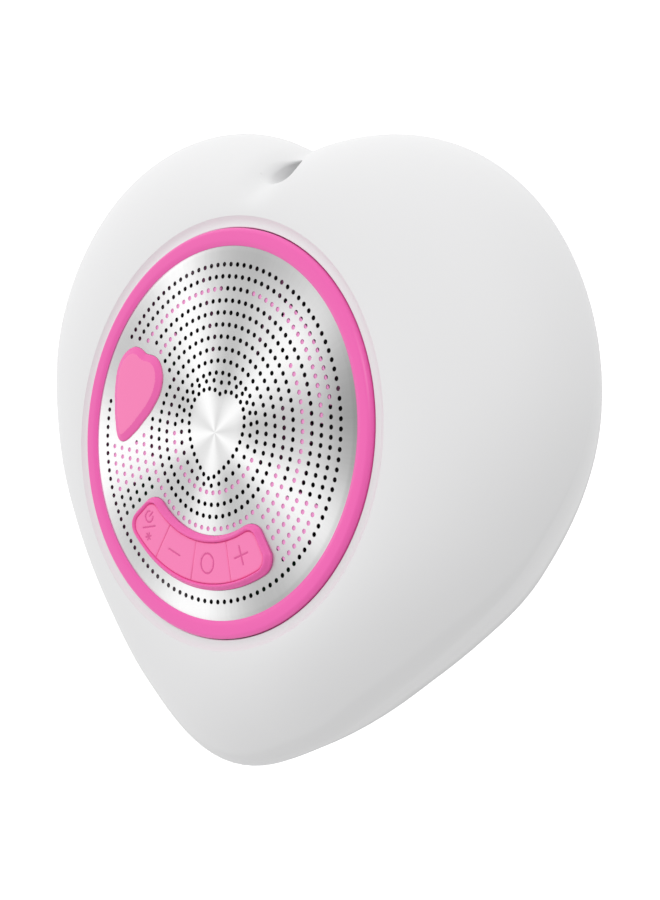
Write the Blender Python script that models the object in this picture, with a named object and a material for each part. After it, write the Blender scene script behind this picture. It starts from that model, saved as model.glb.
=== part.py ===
"""Heart-shaped shower speaker, built as an assembly of separate pieces.

The front looks along -Y and +Z is up.  The origin lies on the wall, on the axis of the
suction cup and the driver.  The pieces are drawn in millimetres about the centre of the
grille's face and hang from one empty, which carries them in front of the wall.
"""

import math

import bmesh
import bpy
from mathutils import Matrix, Vector

MM = 0.001

# ---------------------------------------------------------------- driving dimensions, mm
HOLE_PITCH = 2.0          # radial pitch of the hole circles in the grille
HOLE_CIRCLES = 14         # the outermost circle's number, so its radius is 28
GAP = 0.3                 # clearance between pieces that touch
WALL = 2.4                # thickness of the heart shell
FACE_TO_WALL = 52.0       # from the grille's face to the tiled wall

HEART_RADII = (49.0, 45.0, 42.5, 45.5, 54.5, 65.5, 69.5, 66.5, 58.0)  # tip to cleft
HEART_CENTRE_Z = -9.5     # the radii are drawn about this height
FRONT_Y = 0.4             # where the heart's face meets the collar
WIDEST_Y = 16.4
BACK_Y = 42.0
BACK_SCALE = 0.74         # the heart's size at the back against the widest section
BACK_CENTRE_Z = -38.0     # the taper runs towards this height
FACE_ROUNDING = 1.84      # exponent of the face's superellipse
BACK_ROUNDING = 1.4       # exponent of the taper

KEY_TRAVEL = 0.5

# ---------------------------------------------------------------- derived sizes, mm
DISC_RADIUS = HOLE_PITCH * HOLE_CIRCLES      # the outermost hole circle
GRILLE_RADIUS = DISC_RADIUS + 3.6
RING_INNER = DISC_RADIUS + 3.1
RING_OUTER = DISC_RADIUS + 5.9
COLLAR_INNER = RING_OUTER + GAP
COLLAR_OUTER = RING_OUTER + 2.1
COVE_Y = 1.1                                 # foot of the shallow cove round the ring
RING_FRONT_Y = -0.7
SEAT_Y = 2.4                                 # the ledge that the ring and carrier sit on
WINDOW_RADIUS = 29.0                         # the opening through the shell's front wall
FRONT_WALL_Y = 4.8                           # inner face of the shell's front wall

CARRIER_Y = (0.9, 2.1)
BOARD_Y = (3.2, 4.0)
BAFFLE_Y = (FRONT_WALL_Y + GAP, FRONT_WALL_Y + GAP + 2.0)
COVER_THICKNESS = 3.2
COVER_Y = (BACK_Y - COVER_THICKNESS, BACK_Y)
LEDGE_Y = COVER_Y[0] - 1.0                   # the gasket lies between ledge and cover
COVER_MARGIN = 3.2                           # from the heart's back edge to the cover

KEY_RADII = (18.3, 25.0)                     # inner and outer radius of the key caps
KEYPAD_RADII = (17.1, 26.1)
KEY_SPAN = math.radians(22.3)                # arc of each middle key
KEYS_HALF = math.radians(42.2)               # half the arc that the four keys fill
KEYPAD_HALF = math.radians(45.3)
KEYPAD_CORNER = 3.0
KEYPAD_MIDDLE = math.radians(270)
HUB_OPENING_RADIUS = 15.0                    # the carrier's hole in front of the cone
SOUND_SLOT_MIDDLES = (31.0, 99.0)            # degrees; slots through the carrier beside the driver
SOUND_SLOT_HALF = math.radians(29.5)
KEY_TOP_Y = -0.9
FRAME_TOP_Y = -1.2
STEM_END_Y = 1.9
DOME_Y = (2.65, BOARD_Y[0] - 0.1)
KEY_NAMES = ("power_key", "minus_key", "play_key", "plus_key")
HEART_KEY_RADII = (9.2, 7.0, 5.6, 5.3, 5.6, 6.6, 7.7, 8.1, 6.9)  # tip to cleft
HEART_KEY_CENTRE = Vector((-21.4, 3.9))
HEART_KEY_LEAN = math.radians(-13.7)         # its top leans to the right

EYE_CENTRE_Z = 45.2
EYE_SIZE = (5.0, 4.8)                        # width and height of the hanging eye
POST_PLACES = ((30.0, 12.0), (-30.0, 12.0), (27.0, -22.0), (-27.0, -22.0), (0.0, -42.0))
POST_RADIUS = 3.0
BAFFLE_SCREW_RADIUS = 31.0
BAFFLE_SCREW_ANGLES = (45, 135, 225, 315)

PORT_CENTRE_Z = -31.0
PORT_SIZE = (10.4, 5.0)                      # the charging port's hole in the back cover
MAIN_BOARD_Y = (31.0, 32.2)
BOARD_POSTS = ((15.0, -1.0), (-15.0, -1.0), (15.0, -24.0), (-15.0, -24.0))
PLUG_SIZE = (15.0, 9.4)
PLUG_Y = (BACK_Y - 0.9, BACK_Y + 0.2)
CUP_RADIUS = 25.0

# ---------------------------------------------------------------- colours
WHITE = (0.86, 0.86, 0.87)
PINK = (0.85, 0.12, 0.46)
KEY_PINK = (0.95, 0.22, 0.50)
STEEL = (0.74, 0.75, 0.76)
BLACK = (0.02, 0.02, 0.022)
DARK_STEEL = (0.45, 0.45, 0.46)
FERRITE = (0.09, 0.09, 0.10)
PAPER = (0.10, 0.10, 0.11)
COPPER = (0.72, 0.36, 0.20)
BOARD_GREEN = (0.02, 0.16, 0.07)
RUBBER_GREY = (0.22, 0.22, 0.23)
CLEAR_VINYL = (0.82, 0.84, 0.86)
SILVER = (0.65, 0.66, 0.68)
AMBER = (0.75, 0.45, 0.14)


# ---------------------------------------------------------------- scene and helpers
def clear_scene():
    for obj in list(bpy.data.objects):
        bpy.data.objects.remove(obj, do_unlink=True)


def material(name, colour, roughness, metallic=0.0):
    """The named Principled material, made once."""
    found = bpy.data.materials.get(name)
    if found:
        return found
    made = bpy.data.materials.new(name)
    made.use_nodes = True
    shader = made.node_tree.nodes["Principled BSDF"]
    shader.inputs["Base Color"].default_value = (*colour, 1.0)
    shader.inputs["Roughness"].default_value = roughness
    shader.inputs["Metallic"].default_value = metallic
    return made


def add_piece(name, bm, look, origin=(0.0, 0.0, 0.0), smooth=True):
    """One object from a mesh drawn in millimetres; origin is where its own origin sits."""
    bmesh.ops.recalc_face_normals(bm, faces=bm.faces)
    shift = Vector(origin)
    for vert in bm.verts:
        vert.co = (vert.co - shift) * MM
    mesh = bpy.data.meshes.new(name)
    bm.to_mesh(mesh)
    bm.free()
    if smooth:
        mesh.shade_smooth()
        mesh.set_sharp_from_angle(angle=math.radians(35))
    mesh.materials.append(look)
    piece = bpy.data.objects.new(name, mesh)
    bpy.context.scene.collection.objects.link(piece)
    piece.parent = bpy.data.objects["speaker"]
    piece.location = shift * MM
    return piece


def add_cutter(name, bm):
    """A shape that only cuts or joins others, so it is not a piece."""
    cutter = add_piece(name, bm, material("cutter", BLACK, 0.5), smooth=False)
    cutter.hide_render = True
    cutter.display_type = "WIRE"
    return cutter


def combine(piece, other, operation):
    step = piece.modifiers.new(f"{operation.lower()} {other.name}", "BOOLEAN")
    step.operation = operation
    step.solver = "EXACT"
    step.object = other


def lathe(profile, segments, centre=(0.0, 0.0)):
    """A turned shape about a line along Y; profile is a closed loop of (radius, y)."""
    bm = bmesh.new()
    rings = []
    for radius, y in profile:
        if radius == 0:
            rings.append([bm.verts.new((centre[0], y, centre[1]))])
            continue
        turns = [math.tau * i / segments for i in range(segments)]
        rings.append([bm.verts.new((centre[0] + radius * math.cos(t), y,
                                    centre[1] + radius * math.sin(t))) for t in turns])
    for near, far in zip(rings, rings[1:] + rings[:1]):
        if len(near) == 1 and len(far) == 1:
            continue
        for i in range(segments):
            j = (i + 1) % segments
            corners = [near[i % len(near)], near[j % len(near)],
                       far[j % len(far)], far[i % len(far)]]
            bm.faces.new(list(dict.fromkeys(corners)))
    return bm


def tube_profile(inner, outer, y_front, y_back):
    return [(inner, y_front), (outer, y_front), (outer, y_back), (inner, y_back)]


def rod_profile(radius, y_front, y_back):
    return [(0, y_front), (radius, y_front), (radius, y_back), (0, y_back)]


def prism(outline, y_front, y_back, inset=0.0):
    """A plate of constant outline along Y; inset narrows its front face for a bevelled edge."""
    bm = bmesh.new()
    middle = sum((Vector(p) for p in outline), Vector((0, 0))) / len(outline)
    loops = []
    levels = [(y_front, inset), (y_front + inset, 0.0), (y_back, 0.0)] if inset else \
        [(y_front, 0.0), (y_back, 0.0)]
    reach = max((Vector(p) - middle).length for p in outline)
    for y, narrowing in levels:
        scale = 1.0 - narrowing / reach
        loops.append([bm.verts.new((middle.x + (p[0] - middle.x) * scale, y,
                                    middle.y + (p[1] - middle.y) * scale)) for p in outline])
    bm.faces.new(loops[0])
    bm.faces.new(loops[-1])
    for near, far in zip(loops, loops[1:]):
        for i in range(len(outline)):
            j = (i + 1) % len(outline)
            bm.faces.new((near[i], near[j], far[j], far[i]))
    return bm


def block(centre, size, bevel=0.0):
    """A box with optional bevelled edges."""
    bm = bmesh.new()
    bmesh.ops.create_cube(bm, size=1.0, matrix=Matrix.Translation(centre) @ Matrix.Diagonal((*size, 1.0)))
    if bevel:
        bmesh.ops.bevel(bm, geom=bm.edges[:], offset=bevel, segments=1, affect="EDGES")
    return bm


def circle_outline(radius, steps):
    turns = [math.tau * i / steps for i in range(steps)]
    return [(radius * math.cos(t), radius * math.sin(t)) for t in turns]


def rounded_box_outline(centre, size, radius, steps=4):
    """Points of a rectangle with round corners, in the XZ plane."""
    points = []
    half = Vector(size) / 2 - Vector((radius, radius))
    for corner, (sx, sz) in enumerate(((1, 1), (-1, 1), (-1, -1), (1, -1))):
        for i in range(steps + 1):
            turn = math.radians(90) * (corner + i / steps)
            points.append((centre[0] + sx * half.x + radius * math.cos(turn),
                           centre[1] + sz * half.y + radius * math.sin(turn)))
    return points


def sector_outline(radii, middle, half_angle, corner, steps=14):
    """Points of an annular sector with round corners, counter-clockwise in the XZ plane."""
    inner, outer = radii
    points = []

    def arc(radius, start, end, count):
        for i in range(count + 1):
            turn = start + (end - start) * i / count
            points.append((radius * math.cos(turn), radius * math.sin(turn)))

    def round_corner(radius, turn, start):
        """A quarter round centred a corner's radius in from both edges."""
        centre = (radius * math.cos(turn), radius * math.sin(turn))
        for i in range(1, 4):
            angle = start + math.radians(90) * i / 4
            points.append((centre[0] + corner * math.cos(angle),
                           centre[1] + corner * math.sin(angle)))

    if not corner:
        arc(outer, middle - half_angle, middle + half_angle, steps)
        arc(inner, middle + half_angle, middle - half_angle, steps)
        return points
    outer_trim = math.asin(corner / (outer - corner))
    inner_trim = math.asin(corner / (inner + corner))
    low, high = middle - half_angle, middle + half_angle
    arc(outer, low + outer_trim, high - outer_trim, steps)
    round_corner(outer - corner, high - outer_trim, high - outer_trim)
    round_corner(inner + corner, high - inner_trim, high + math.radians(90))
    arc(inner, high - inner_trim, low + inner_trim, steps)
    round_corner(inner + corner, low + inner_trim, low + inner_trim + math.radians(180))
    round_corner(outer - corner, low + outer_trim, low - math.radians(90))
    return points


# ---------------------------------------------------------------- the heart shell
def heart_radius(radii, turn):
    """Radius of a heart at turns from -90 (tip) to 90 degrees (cleft), on a smooth curve."""
    count = len(radii) - 1
    place = (turn + 90.0) / 180.0 * count
    k = min(int(place), count - 1)
    u = place - k
    slopes = [0.0]
    slopes += [(radii[i + 1] - radii[i - 1]) / 2 for i in range(1, count)]
    slopes += [(3 * radii[-1] - 4 * radii[-2] + radii[-3]) / 2]
    return ((2 * u**3 - 3 * u**2 + 1) * radii[k] + (u**3 - 2 * u**2 + u) * slopes[k]
            + (3 * u**2 - 2 * u**3) * radii[k + 1] + (u**3 - u**2) * slopes[k + 1])


def heart_points(radii, grow, half_steps):
    """A heart's outline about its own centre, from the tip round, as (x, z) points."""
    right = []
    for i in range(half_steps + 1):
        turn = -90.0 + 180.0 * i / half_steps
        radius = heart_radius(radii, turn) + grow
        angle = math.radians(turn)
        right.append((radius * math.cos(angle), radius * math.sin(angle)))
    left = [(-x, z) for x, z in right[-2:0:-1]]
    return right + left


def heart_section(shrink=0.0):
    """The widest section's outline, pulled in by shrink, as (x, z) points from the tip round."""
    return [(x, HEART_CENTRE_Z + z) for x, z in heart_points(HEART_RADII, -shrink, 28)]


def heart_key_outline(grow=0.0):
    """The leaning outline of the heart key."""
    lean = Matrix.Rotation(HEART_KEY_LEAN, 2)
    return [tuple(lean @ Vector(p) + HEART_KEY_CENTRE) for p in heart_points(HEART_KEY_RADII, grow, 14)]


def face_loop(outline, start_radius, start_y, share):
    """A loop between the circle round the ring (share 0) and the widest section (share 1)."""
    angle = share * math.pi / 2
    out = math.sin(angle) ** (2 / FACE_ROUNDING)
    back = 1 - math.cos(angle) ** (2 / FACE_ROUNDING)
    loop = []
    for x, z in outline:
        turn = math.atan2(z, x)
        cx, cz = start_radius * math.cos(turn), start_radius * math.sin(turn)
        loop.append((cx + (x - cx) * out, start_y + (WIDEST_Y - start_y) * back, cz + (z - cz) * out))
    return loop


def back_loop(outline, y):
    """A loop on the taper behind the widest section, at depth y."""
    run = (y - WIDEST_Y) / (BACK_Y - WIDEST_Y)
    scale = 1 - (1 - BACK_SCALE) * run**BACK_ROUNDING
    return [(x * scale, y, BACK_CENTRE_Z + (z - BACK_CENTRE_Z) * scale) for x, z in outline]


def circle_loop(outline, radius, y):
    turns = [math.atan2(z, x) for x, z in outline]
    return [(radius * math.cos(t), y, radius * math.sin(t)) for t in turns]


def inset_loop(loop, margin, y):
    """The loop moved in by margin, square to its own edge, at depth y."""
    result = []
    for i, (x, _, z) in enumerate(loop):
        ahead, behind = loop[(i + 1) % len(loop)], loop[i - 1]
        edge = Vector((ahead[0] - behind[0], ahead[2] - behind[2])).normalized()
        result.append((x - edge.y * margin, y, z + edge.x * margin))
    return result


def skin(loops, closed):
    """Faces between loops of equal length; closed joins the last to the first."""
    bm = bmesh.new()
    rows = [[bm.verts.new(p) for p in loop] for loop in loops]
    pairs = list(zip(rows, rows[1:]))
    if closed:
        pairs.append((rows[-1], rows[0]))
    else:
        bm.faces.new(rows[0])
        bm.faces.new(rows[-1])
    for near, far in pairs:
        for i in range(len(near)):
            j = (i + 1) % len(near)
            bm.faces.new((near[i], near[j], far[j], far[i]))
    return bm


def build_shell():
    """The white heart: one moulding from the collar to the back opening, with its posts."""
    outer = heart_section()
    inner = heart_section(WALL)
    edge = back_loop(outer, BACK_Y)
    loops = [circle_loop(outer, WINDOW_RADIUS, SEAT_Y), circle_loop(outer, COLLAR_INNER, SEAT_Y),
             circle_loop(outer, COLLAR_INNER, COVE_Y), circle_loop(outer, COLLAR_INNER + 0.8, COVE_Y - 0.15)]
    loops += [face_loop(outer, COLLAR_OUTER, FRONT_Y, i / 8) for i in range(9)]
    loops += [back_loop(outer, WIDEST_Y + (BACK_Y - 0.8 - WIDEST_Y) * i / 5) for i in range(1, 6)]
    loops += [inset_loop(edge, 0.6, BACK_Y), inset_loop(edge, COVER_MARGIN, BACK_Y),
              inset_loop(edge, COVER_MARGIN, LEDGE_Y), inset_loop(edge, COVER_MARGIN + 2.4, LEDGE_Y),
              inset_loop(edge, COVER_MARGIN + 2.4, LEDGE_Y - 1.6)]
    loops += [back_loop(inner, LEDGE_Y - 4.0), back_loop(inner, WIDEST_Y + 9.0)]
    loops += [face_loop(inner, WINDOW_RADIUS + 5.0, FRONT_WALL_Y, i / 5) for i in range(5, -1, -1)]
    loops += [circle_loop(outer, WINDOW_RADIUS, FRONT_WALL_Y)]
    shell = add_piece("heart_shell", skin(loops, closed=True), material("white_plastic", WHITE, 0.3))

    for number, (x, z) in enumerate(POST_PLACES):
        rod = rod_profile(POST_RADIUS, FRONT_WALL_Y - 1.0, LEDGE_Y)
        post = add_cutter(f"post_{number}", lathe(rod, 12, (x, z)))
        combine(shell, post, "UNION")
        bore = rod_profile(1.5, LEDGE_Y - 9.0, LEDGE_Y + 1.0)
        pilot = add_cutter(f"pilot_{number}", lathe(bore, 10, (x, z)))
        combine(shell, pilot, "DIFFERENCE")
    hull_loops = [face_loop(outer, COLLAR_OUTER, FRONT_Y, i / 8) for i in range(9)]
    hull_loops += [back_loop(outer, WIDEST_Y + (BACK_Y - 0.8 - WIDEST_Y) * i / 5) for i in range(1, 6)]
    hull = add_cutter("shell_hull", skin(hull_loops, closed=False))
    lining_outline = rounded_box_outline((0, EYE_CENTRE_Z), (EYE_SIZE[0] + 3.2, EYE_SIZE[1] + 3.2), 2.4, 3)
    lining = add_cutter("eye_lining", prism(lining_outline, FRONT_Y + 0.5, BACK_Y - 1.5))
    combine(lining, hull, "INTERSECT")
    combine(shell, lining, "UNION")
    passage = rounded_box_outline((0, EYE_CENTRE_Z), EYE_SIZE, 1.0, 2)
    combine(shell, add_cutter("eye_passage", prism(passage, -5.0, BACK_Y)), "DIFFERENCE")
    for number, turn in enumerate(BAFFLE_SCREW_ANGLES):
        place = (BAFFLE_SCREW_RADIUS * math.cos(math.radians(turn)),
                 BAFFLE_SCREW_RADIUS * math.sin(math.radians(turn)))
        bore = rod_profile(1.2, SEAT_Y + 0.8, FRONT_WALL_Y + 1)
        hole = add_cutter(f"baffle_hole_{number}", lathe(bore, 8, place))
        combine(shell, hole, "DIFFERENCE")
    return shell


def build_front():
    """The pink ring, the metal grille and the pink carrier that holds the keys behind it."""
    ring = [(RING_INNER, RING_FRONT_Y + 0.15), (RING_INNER + 0.2, RING_FRONT_Y),
            (RING_OUTER - 0.5, RING_FRONT_Y), (RING_OUTER, RING_FRONT_Y + 0.5),
            (RING_OUTER, SEAT_Y - GAP), (GRILLE_RADIUS + GAP, SEAT_Y - GAP),
            (GRILLE_RADIUS + GAP, -GAP), (RING_INNER, -GAP)]
    add_piece("bezel_ring", lathe(ring, 64), material("pink_plastic", PINK, 0.3))

    grille = add_piece("grille", prism(circle_outline(GRILLE_RADIUS, 64), 0.0, 0.6),
                       material("spun_metal", STEEL, 0.25, 1.0))
    pad_opening = sector_outline((KEYPAD_RADII[0] - GAP, KEYPAD_RADII[1] + GAP), KEYPAD_MIDDLE,
                                 KEYPAD_HALF + math.radians(0.9), KEYPAD_CORNER)
    combine(grille, add_cutter("pad_opening", prism(pad_opening, -2.0, 2.0)), "DIFFERENCE")
    heart_opening = heart_key_outline(GAP)
    combine(grille, add_cutter("heart_opening", prism(heart_opening, -2.0, 2.0)), "DIFFERENCE")

    carrier = add_piece("grille_carrier", prism(circle_outline(GRILLE_RADIUS, 64), *CARRIER_Y),
                        material("pink_plastic", PINK, 0.3))
    hub_opening = prism(circle_outline(HUB_OPENING_RADIUS, 40), 0.0, 3.0)
    combine(carrier, add_cutter("hub_opening", hub_opening), "DIFFERENCE")
    for number, middle in enumerate(SOUND_SLOT_MIDDLES):
        slot = sector_outline((18.0, 28.0), math.radians(middle), SOUND_SLOT_HALF, 0, 10)
        combine(carrier, add_cutter(f"sound_slot_{number}", prism(slot, 0.0, 3.0)), "DIFFERENCE")
    key_window = key_field(GAP)
    combine(carrier, add_cutter("key_window", prism(key_window, 0.0, 3.0)), "DIFFERENCE")
    heart_window = heart_key_outline(-1.6)
    combine(carrier, add_cutter("heart_window", prism(heart_window, 0.0, 3.0)), "DIFFERENCE")


def key_field(grow):
    """The outline that the four keys fill together, grown all round."""
    radii = (KEY_RADII[0] - grow, KEY_RADII[1] + grow)
    return sector_outline(radii, KEYPAD_MIDDLE, KEYS_HALF + grow / KEY_RADII[0], 2.0)


def build_keys():
    """The silicone frame, its four keys in an arc, and the heart key, each with its stem."""
    silicone = material("pink_silicone", KEY_PINK, 0.4)
    outline = sector_outline(KEYPAD_RADII, KEYPAD_MIDDLE, KEYPAD_HALF, KEYPAD_CORNER)
    frame = add_piece("keypad_frame", prism(outline, FRAME_TOP_Y, CARRIER_Y[0] - GAP, inset=0.5), silicone)
    combine(frame, add_cutter("frame_window", prism(key_field(GAP), -3.0, 3.0)), "DIFFERENCE")

    dome_metal = material("switch_metal", SILVER, 0.3, 1.0)
    half_key = KEY_SPAN / 2 - math.radians(0.4)
    stem_radius = sum(KEY_RADII) / 2
    for number, name in enumerate(KEY_NAMES):
        middle = KEYPAD_MIDDLE + KEY_SPAN * (number - 1.5)
        place = (stem_radius * math.cos(middle), stem_radius * math.sin(middle))
        cap = add_piece(name, prism(key_field(0.0), KEY_TOP_Y, 1.2, inset=0.2), silicone,
                        origin=(place[0], 0.0, place[1]))
        wedge = sector_outline((10.0, 32.0), middle, half_key, 0, 4)
        combine(cap, add_cutter(f"{name}_wedge", prism(wedge, -3.0, 3.0)), "INTERSECT")
        stem = add_cutter(f"{name}_stem", lathe(rod_profile(1.6, 0.5, STEM_END_Y), 10, place))
        combine(cap, stem, "UNION")
        add_piece(f"{name}_switch", lathe(dome_profile(), 12, place), dome_metal)

    place = tuple(HEART_KEY_CENTRE)
    cap_back = CARRIER_Y[0] - GAP - KEY_TRAVEL
    cap = add_piece("heart_key", prism(heart_key_outline(), KEY_TOP_Y, cap_back, inset=0.8),
                    silicone, origin=(place[0], 0.0, place[1]))
    stem = add_cutter("heart_key_stem", lathe(rod_profile(2.0, -0.2, STEM_END_Y), 10, place))
    combine(cap, stem, "UNION")
    add_piece("heart_key_switch", lathe(dome_profile(), 12, place), dome_metal)


def dome_profile():
    """The snap dome of a key switch, which stands on the key board."""
    return [(0, DOME_Y[0]), (1.2, DOME_Y[0] + 0.08), (2.1, DOME_Y[1]), (0, DOME_Y[1])]


def build_key_board():
    """The curved circuit board under the keys, with the microphone behind it."""
    board = sector_outline((17.6, 27.4), math.radians(233), math.radians(86), 2.0, 20)
    add_piece("key_board", prism(board, *BOARD_Y), material("circuit_board", BOARD_GREEN, 0.4))
    spot = Vector((math.cos(math.radians(205)), math.sin(math.radians(205)))) * 22.5
    add_piece("microphone", block((spot.x, BOARD_Y[1] + 0.2 + 0.45, spot.y), (3.8, 0.9, 2.8), 0.2),
              material("switch_metal", SILVER, 0.3, 1.0))


def build_driver():
    """The 40 mm driver on its baffle, from the waterproof membrane back to the magnet."""
    front = BAFFLE_Y[1]
    black = material("black_plastic", BLACK, 0.5)
    cloth = rod_profile(17.2, 4.3, 4.7)
    add_piece("splash_membrane", lathe(cloth, 40), material("membrane_cloth", BLACK, 0.9))
    baffle = add_piece("speaker_baffle", lathe(tube_profile(16.0, 33.0, *BAFFLE_Y), 56), black)
    for number, (x, z) in enumerate(POST_PLACES[:4]):
        rod = rod_profile(POST_RADIUS + GAP, BAFFLE_Y[0] - 1, BAFFLE_Y[1] + 1)
        notch = add_cutter(f"baffle_notch_{number}", lathe(rod, 12, (x, z)))
        combine(baffle, notch, "DIFFERENCE")
    for number, turn in enumerate(BAFFLE_SCREW_ANGLES):
        place = (BAFFLE_SCREW_RADIUS * math.cos(math.radians(turn)),
                 BAFFLE_SCREW_RADIUS * math.sin(math.radians(turn)))
        hole = add_cutter(f"baffle_clearance_{number}",
                          lathe(rod_profile(1.2, BAFFLE_Y[0] - 1, BAFFLE_Y[1] + 1), 8, place))
        combine(baffle, hole, "DIFFERENCE")
        screw = screw_profile(front + 0.2, 1.2, 1.9, 0.9, 3.8)
        add_piece(f"baffle_screw_{number + 1}", lathe(screw, 10, place),
                  material("screw_steel", SILVER, 0.3, 1.0))

    y = front + GAP
    add_piece("driver_gasket", lathe(tube_profile(17.2, 20.0, y, y + 0.5), 36), material("foam", BLACK, 0.95))
    flange = y + 0.8
    basket = [(17.2, flange), (20.0, flange), (20.0, flange + 1.0), (18.0, flange + 1.0),
              (13.2, flange + 7.6), (7.0, flange + 7.6), (7.0, flange + 6.8), (12.6, flange + 6.8),
              (17.2, flange + 0.8)]
    add_piece("driver_basket", lathe(basket, 40), material("pressed_steel", DARK_STEEL, 0.45, 1.0))
    surround = [(14.3, flange + 0.4), (14.7, flange - 0.3), (15.6, flange - 0.7), (16.5, flange - 0.3),
                (16.9, flange + 0.4), (16.9, flange + 0.8), (16.5, flange + 0.3), (15.6, flange - 0.2),
                (14.7, flange + 0.3), (14.3, flange + 0.8)]
    add_piece("cone_surround", lathe(surround, 40), material("black_rubber", BLACK, 0.7))
    cone = [(14.0, flange + 0.4), (14.0, flange + 0.9), (5.6, flange + 5.0), (5.6, flange + 4.4)]
    add_piece("driver_cone", lathe(cone, 40), material("cone_paper", PAPER, 0.9), origin=(0, flange, 0))
    cap = [(0, flange + 1.9), (2.8, flange + 2.4), (5.2, flange + 4.0), (5.2, flange + 4.5),
           (2.7, flange + 2.9), (0, flange + 2.4)]
    add_piece("dust_cap", lathe(cap, 24), material("cone_paper", PAPER, 0.9), origin=(0, flange, 0))
    spider = [(5.4, flange + 6.0), (11.8, flange + 6.0), (11.8, flange + 6.4), (5.4, flange + 6.4)]
    add_piece("spider", lathe(spider, 32), material("spider_cloth", AMBER, 0.9))
    coil = tube_profile(4.7, 5.05, flange + 5.3, flange + 12.0)
    add_piece("voice_coil", lathe(coil, 28), material("copper_wire", COPPER, 0.35, 1.0),
              origin=(0, flange, 0))

    plate = flange + 7.9
    iron = material("plated_iron", DARK_STEEL, 0.35, 1.0)
    add_piece("top_plate", lathe(tube_profile(5.5, 11.0, plate, plate + 2.0), 32), iron)
    add_piece("magnet", lathe(tube_profile(6.6, 12.0, plate + 2.3, plate + 7.3), 32),
              material("ferrite", FERRITE, 0.6))
    yoke = [(0, plate), (4.3, plate), (4.3, plate + 7.6), (11.0, plate + 7.6),
            (11.0, plate + 9.6), (0, plate + 9.6)]
    add_piece("yoke", lathe(yoke, 32), iron)


def build_back():
    """The back cover with its gasket and screws, the charging port's plug and the suction cup."""
    edge = back_loop(heart_section(), BACK_Y)
    cover_edge = [(p[0], p[2]) for p in inset_loop(edge, COVER_MARGIN + GAP, BACK_Y)]
    cover = add_piece("back_cover", prism(cover_edge, *COVER_Y), material("white_plastic", WHITE, 0.3))
    steel = material("screw_steel", SILVER, 0.3, 1.0)
    for number, place in enumerate(POST_PLACES):
        head_y = COVER_Y[0] + 1.5
        bore = rod_profile(1.6, COVER_Y[0] - 1, COVER_Y[1] + 1)
        hole = add_cutter(f"cover_hole_{number}", lathe(bore, 10, place))
        combine(cover, hole, "DIFFERENCE")
        sink = add_cutter(f"cover_sink_{number}", lathe(rod_profile(3.0, head_y, COVER_Y[1] + 1), 16, place))
        combine(cover, sink, "DIFFERENCE")
        screw = screw_profile(head_y + 0.2, 1.5, 2.6, 1.3, 9.0)
        add_piece(f"cover_screw_{number + 1}", lathe(screw, 12, place), steel)
    for number, place in enumerate(BOARD_POSTS):
        rod = rod_profile(2.0, MAIN_BOARD_Y[1] + GAP, COVER_Y[0] + 1)
        post = add_cutter(f"board_post_{number}", lathe(rod, 10, place))
        combine(cover, post, "UNION")

    gasket_outer = [(p[0], LEDGE_Y + 0.25, p[2]) for p in inset_loop(edge, COVER_MARGIN + GAP, BACK_Y)]
    gasket_inner = [(p[0], LEDGE_Y + 0.25, p[2]) for p in inset_loop(edge, COVER_MARGIN + 2.2, BACK_Y)]
    gasket = [gasket_outer, [(x, y + 0.5, z) for x, y, z in gasket_outer],
              [(x, y + 0.5, z) for x, y, z in gasket_inner], gasket_inner]
    add_piece("cover_gasket", skin(gasket, closed=True), material("grey_rubber", RUBBER_GREY, 0.8))

    port = rounded_box_outline((0, PORT_CENTRE_Z), PORT_SIZE, 1.4, 3)
    combine(cover, add_cutter("port_hole", prism(port, COVER_Y[0] - 2, COVER_Y[1] + 1)), "DIFFERENCE")
    recess = rounded_box_outline((0, PORT_CENTRE_Z), (PLUG_SIZE[0] + 2 * GAP, PLUG_SIZE[1] + 2 * GAP), 2.6, 4)
    combine(cover, add_cutter("plug_recess", prism(recess, PLUG_Y[0] - GAP, COVER_Y[1] + 1)), "DIFFERENCE")
    hinge = (0.0, PLUG_Y[1], PORT_CENTRE_Z + PLUG_SIZE[1] / 2)
    plug = add_piece("port_plug", prism(rounded_box_outline((0, PORT_CENTRE_Z), PLUG_SIZE, 2.3, 4), *PLUG_Y),
                     material("grey_rubber", RUBBER_GREY, 0.8), origin=hinge)
    nose = rounded_box_outline((0, PORT_CENTRE_Z + 0.1), (PORT_SIZE[0] - 0.8, PORT_SIZE[1] - 1.0), 1.2, 3)
    combine(plug, add_cutter("plug_nose", prism(nose, PLUG_Y[0] - 1.5, PLUG_Y[1] - 0.3)), "UNION")

    stud_hole = add_cutter("stud_hole", lathe(rod_profile(4.1, COVER_Y[0] - 1, COVER_Y[1] + 1), 24))
    combine(cover, stud_hole, "DIFFERENCE")
    stud = [(0, COVER_Y[0] - 2.5), (6.0, COVER_Y[0] - 2.5), (6.0, COVER_Y[0] - GAP), (3.8, COVER_Y[0] - GAP),
            (3.8, BACK_Y + 1.2), (5.0, BACK_Y + 1.8), (5.0, BACK_Y + 3.6),
            (3.6, BACK_Y + 4.2), (0, BACK_Y + 4.2)]
    add_piece("cup_stud", lathe(stud, 24), material("white_plastic", WHITE, 0.3))
    lip = FACE_TO_WALL
    cup = [(0, BACK_Y + 4.5), (3.9, BACK_Y + 4.5), (5.3, BACK_Y + 3.8),
           (5.3, BACK_Y + 1.6), (4.1, BACK_Y + 1.0),
           (4.1, BACK_Y + 0.4), (7.4, BACK_Y + 0.4), (8.0, BACK_Y + 4.2),
           (13.0, lip - 3.2), (19.0, lip - 1.6),
           (CUP_RADIUS - 0.4, lip - 0.6), (CUP_RADIUS, lip), (CUP_RADIUS - 3.0, lip), (17.0, lip - 0.7),
           (10.0, lip - 1.7), (0, lip - 2.4)]
    add_piece("suction_cup", lathe(cup, 40), material("clear_vinyl", CLEAR_VINYL, 0.15))


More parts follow.
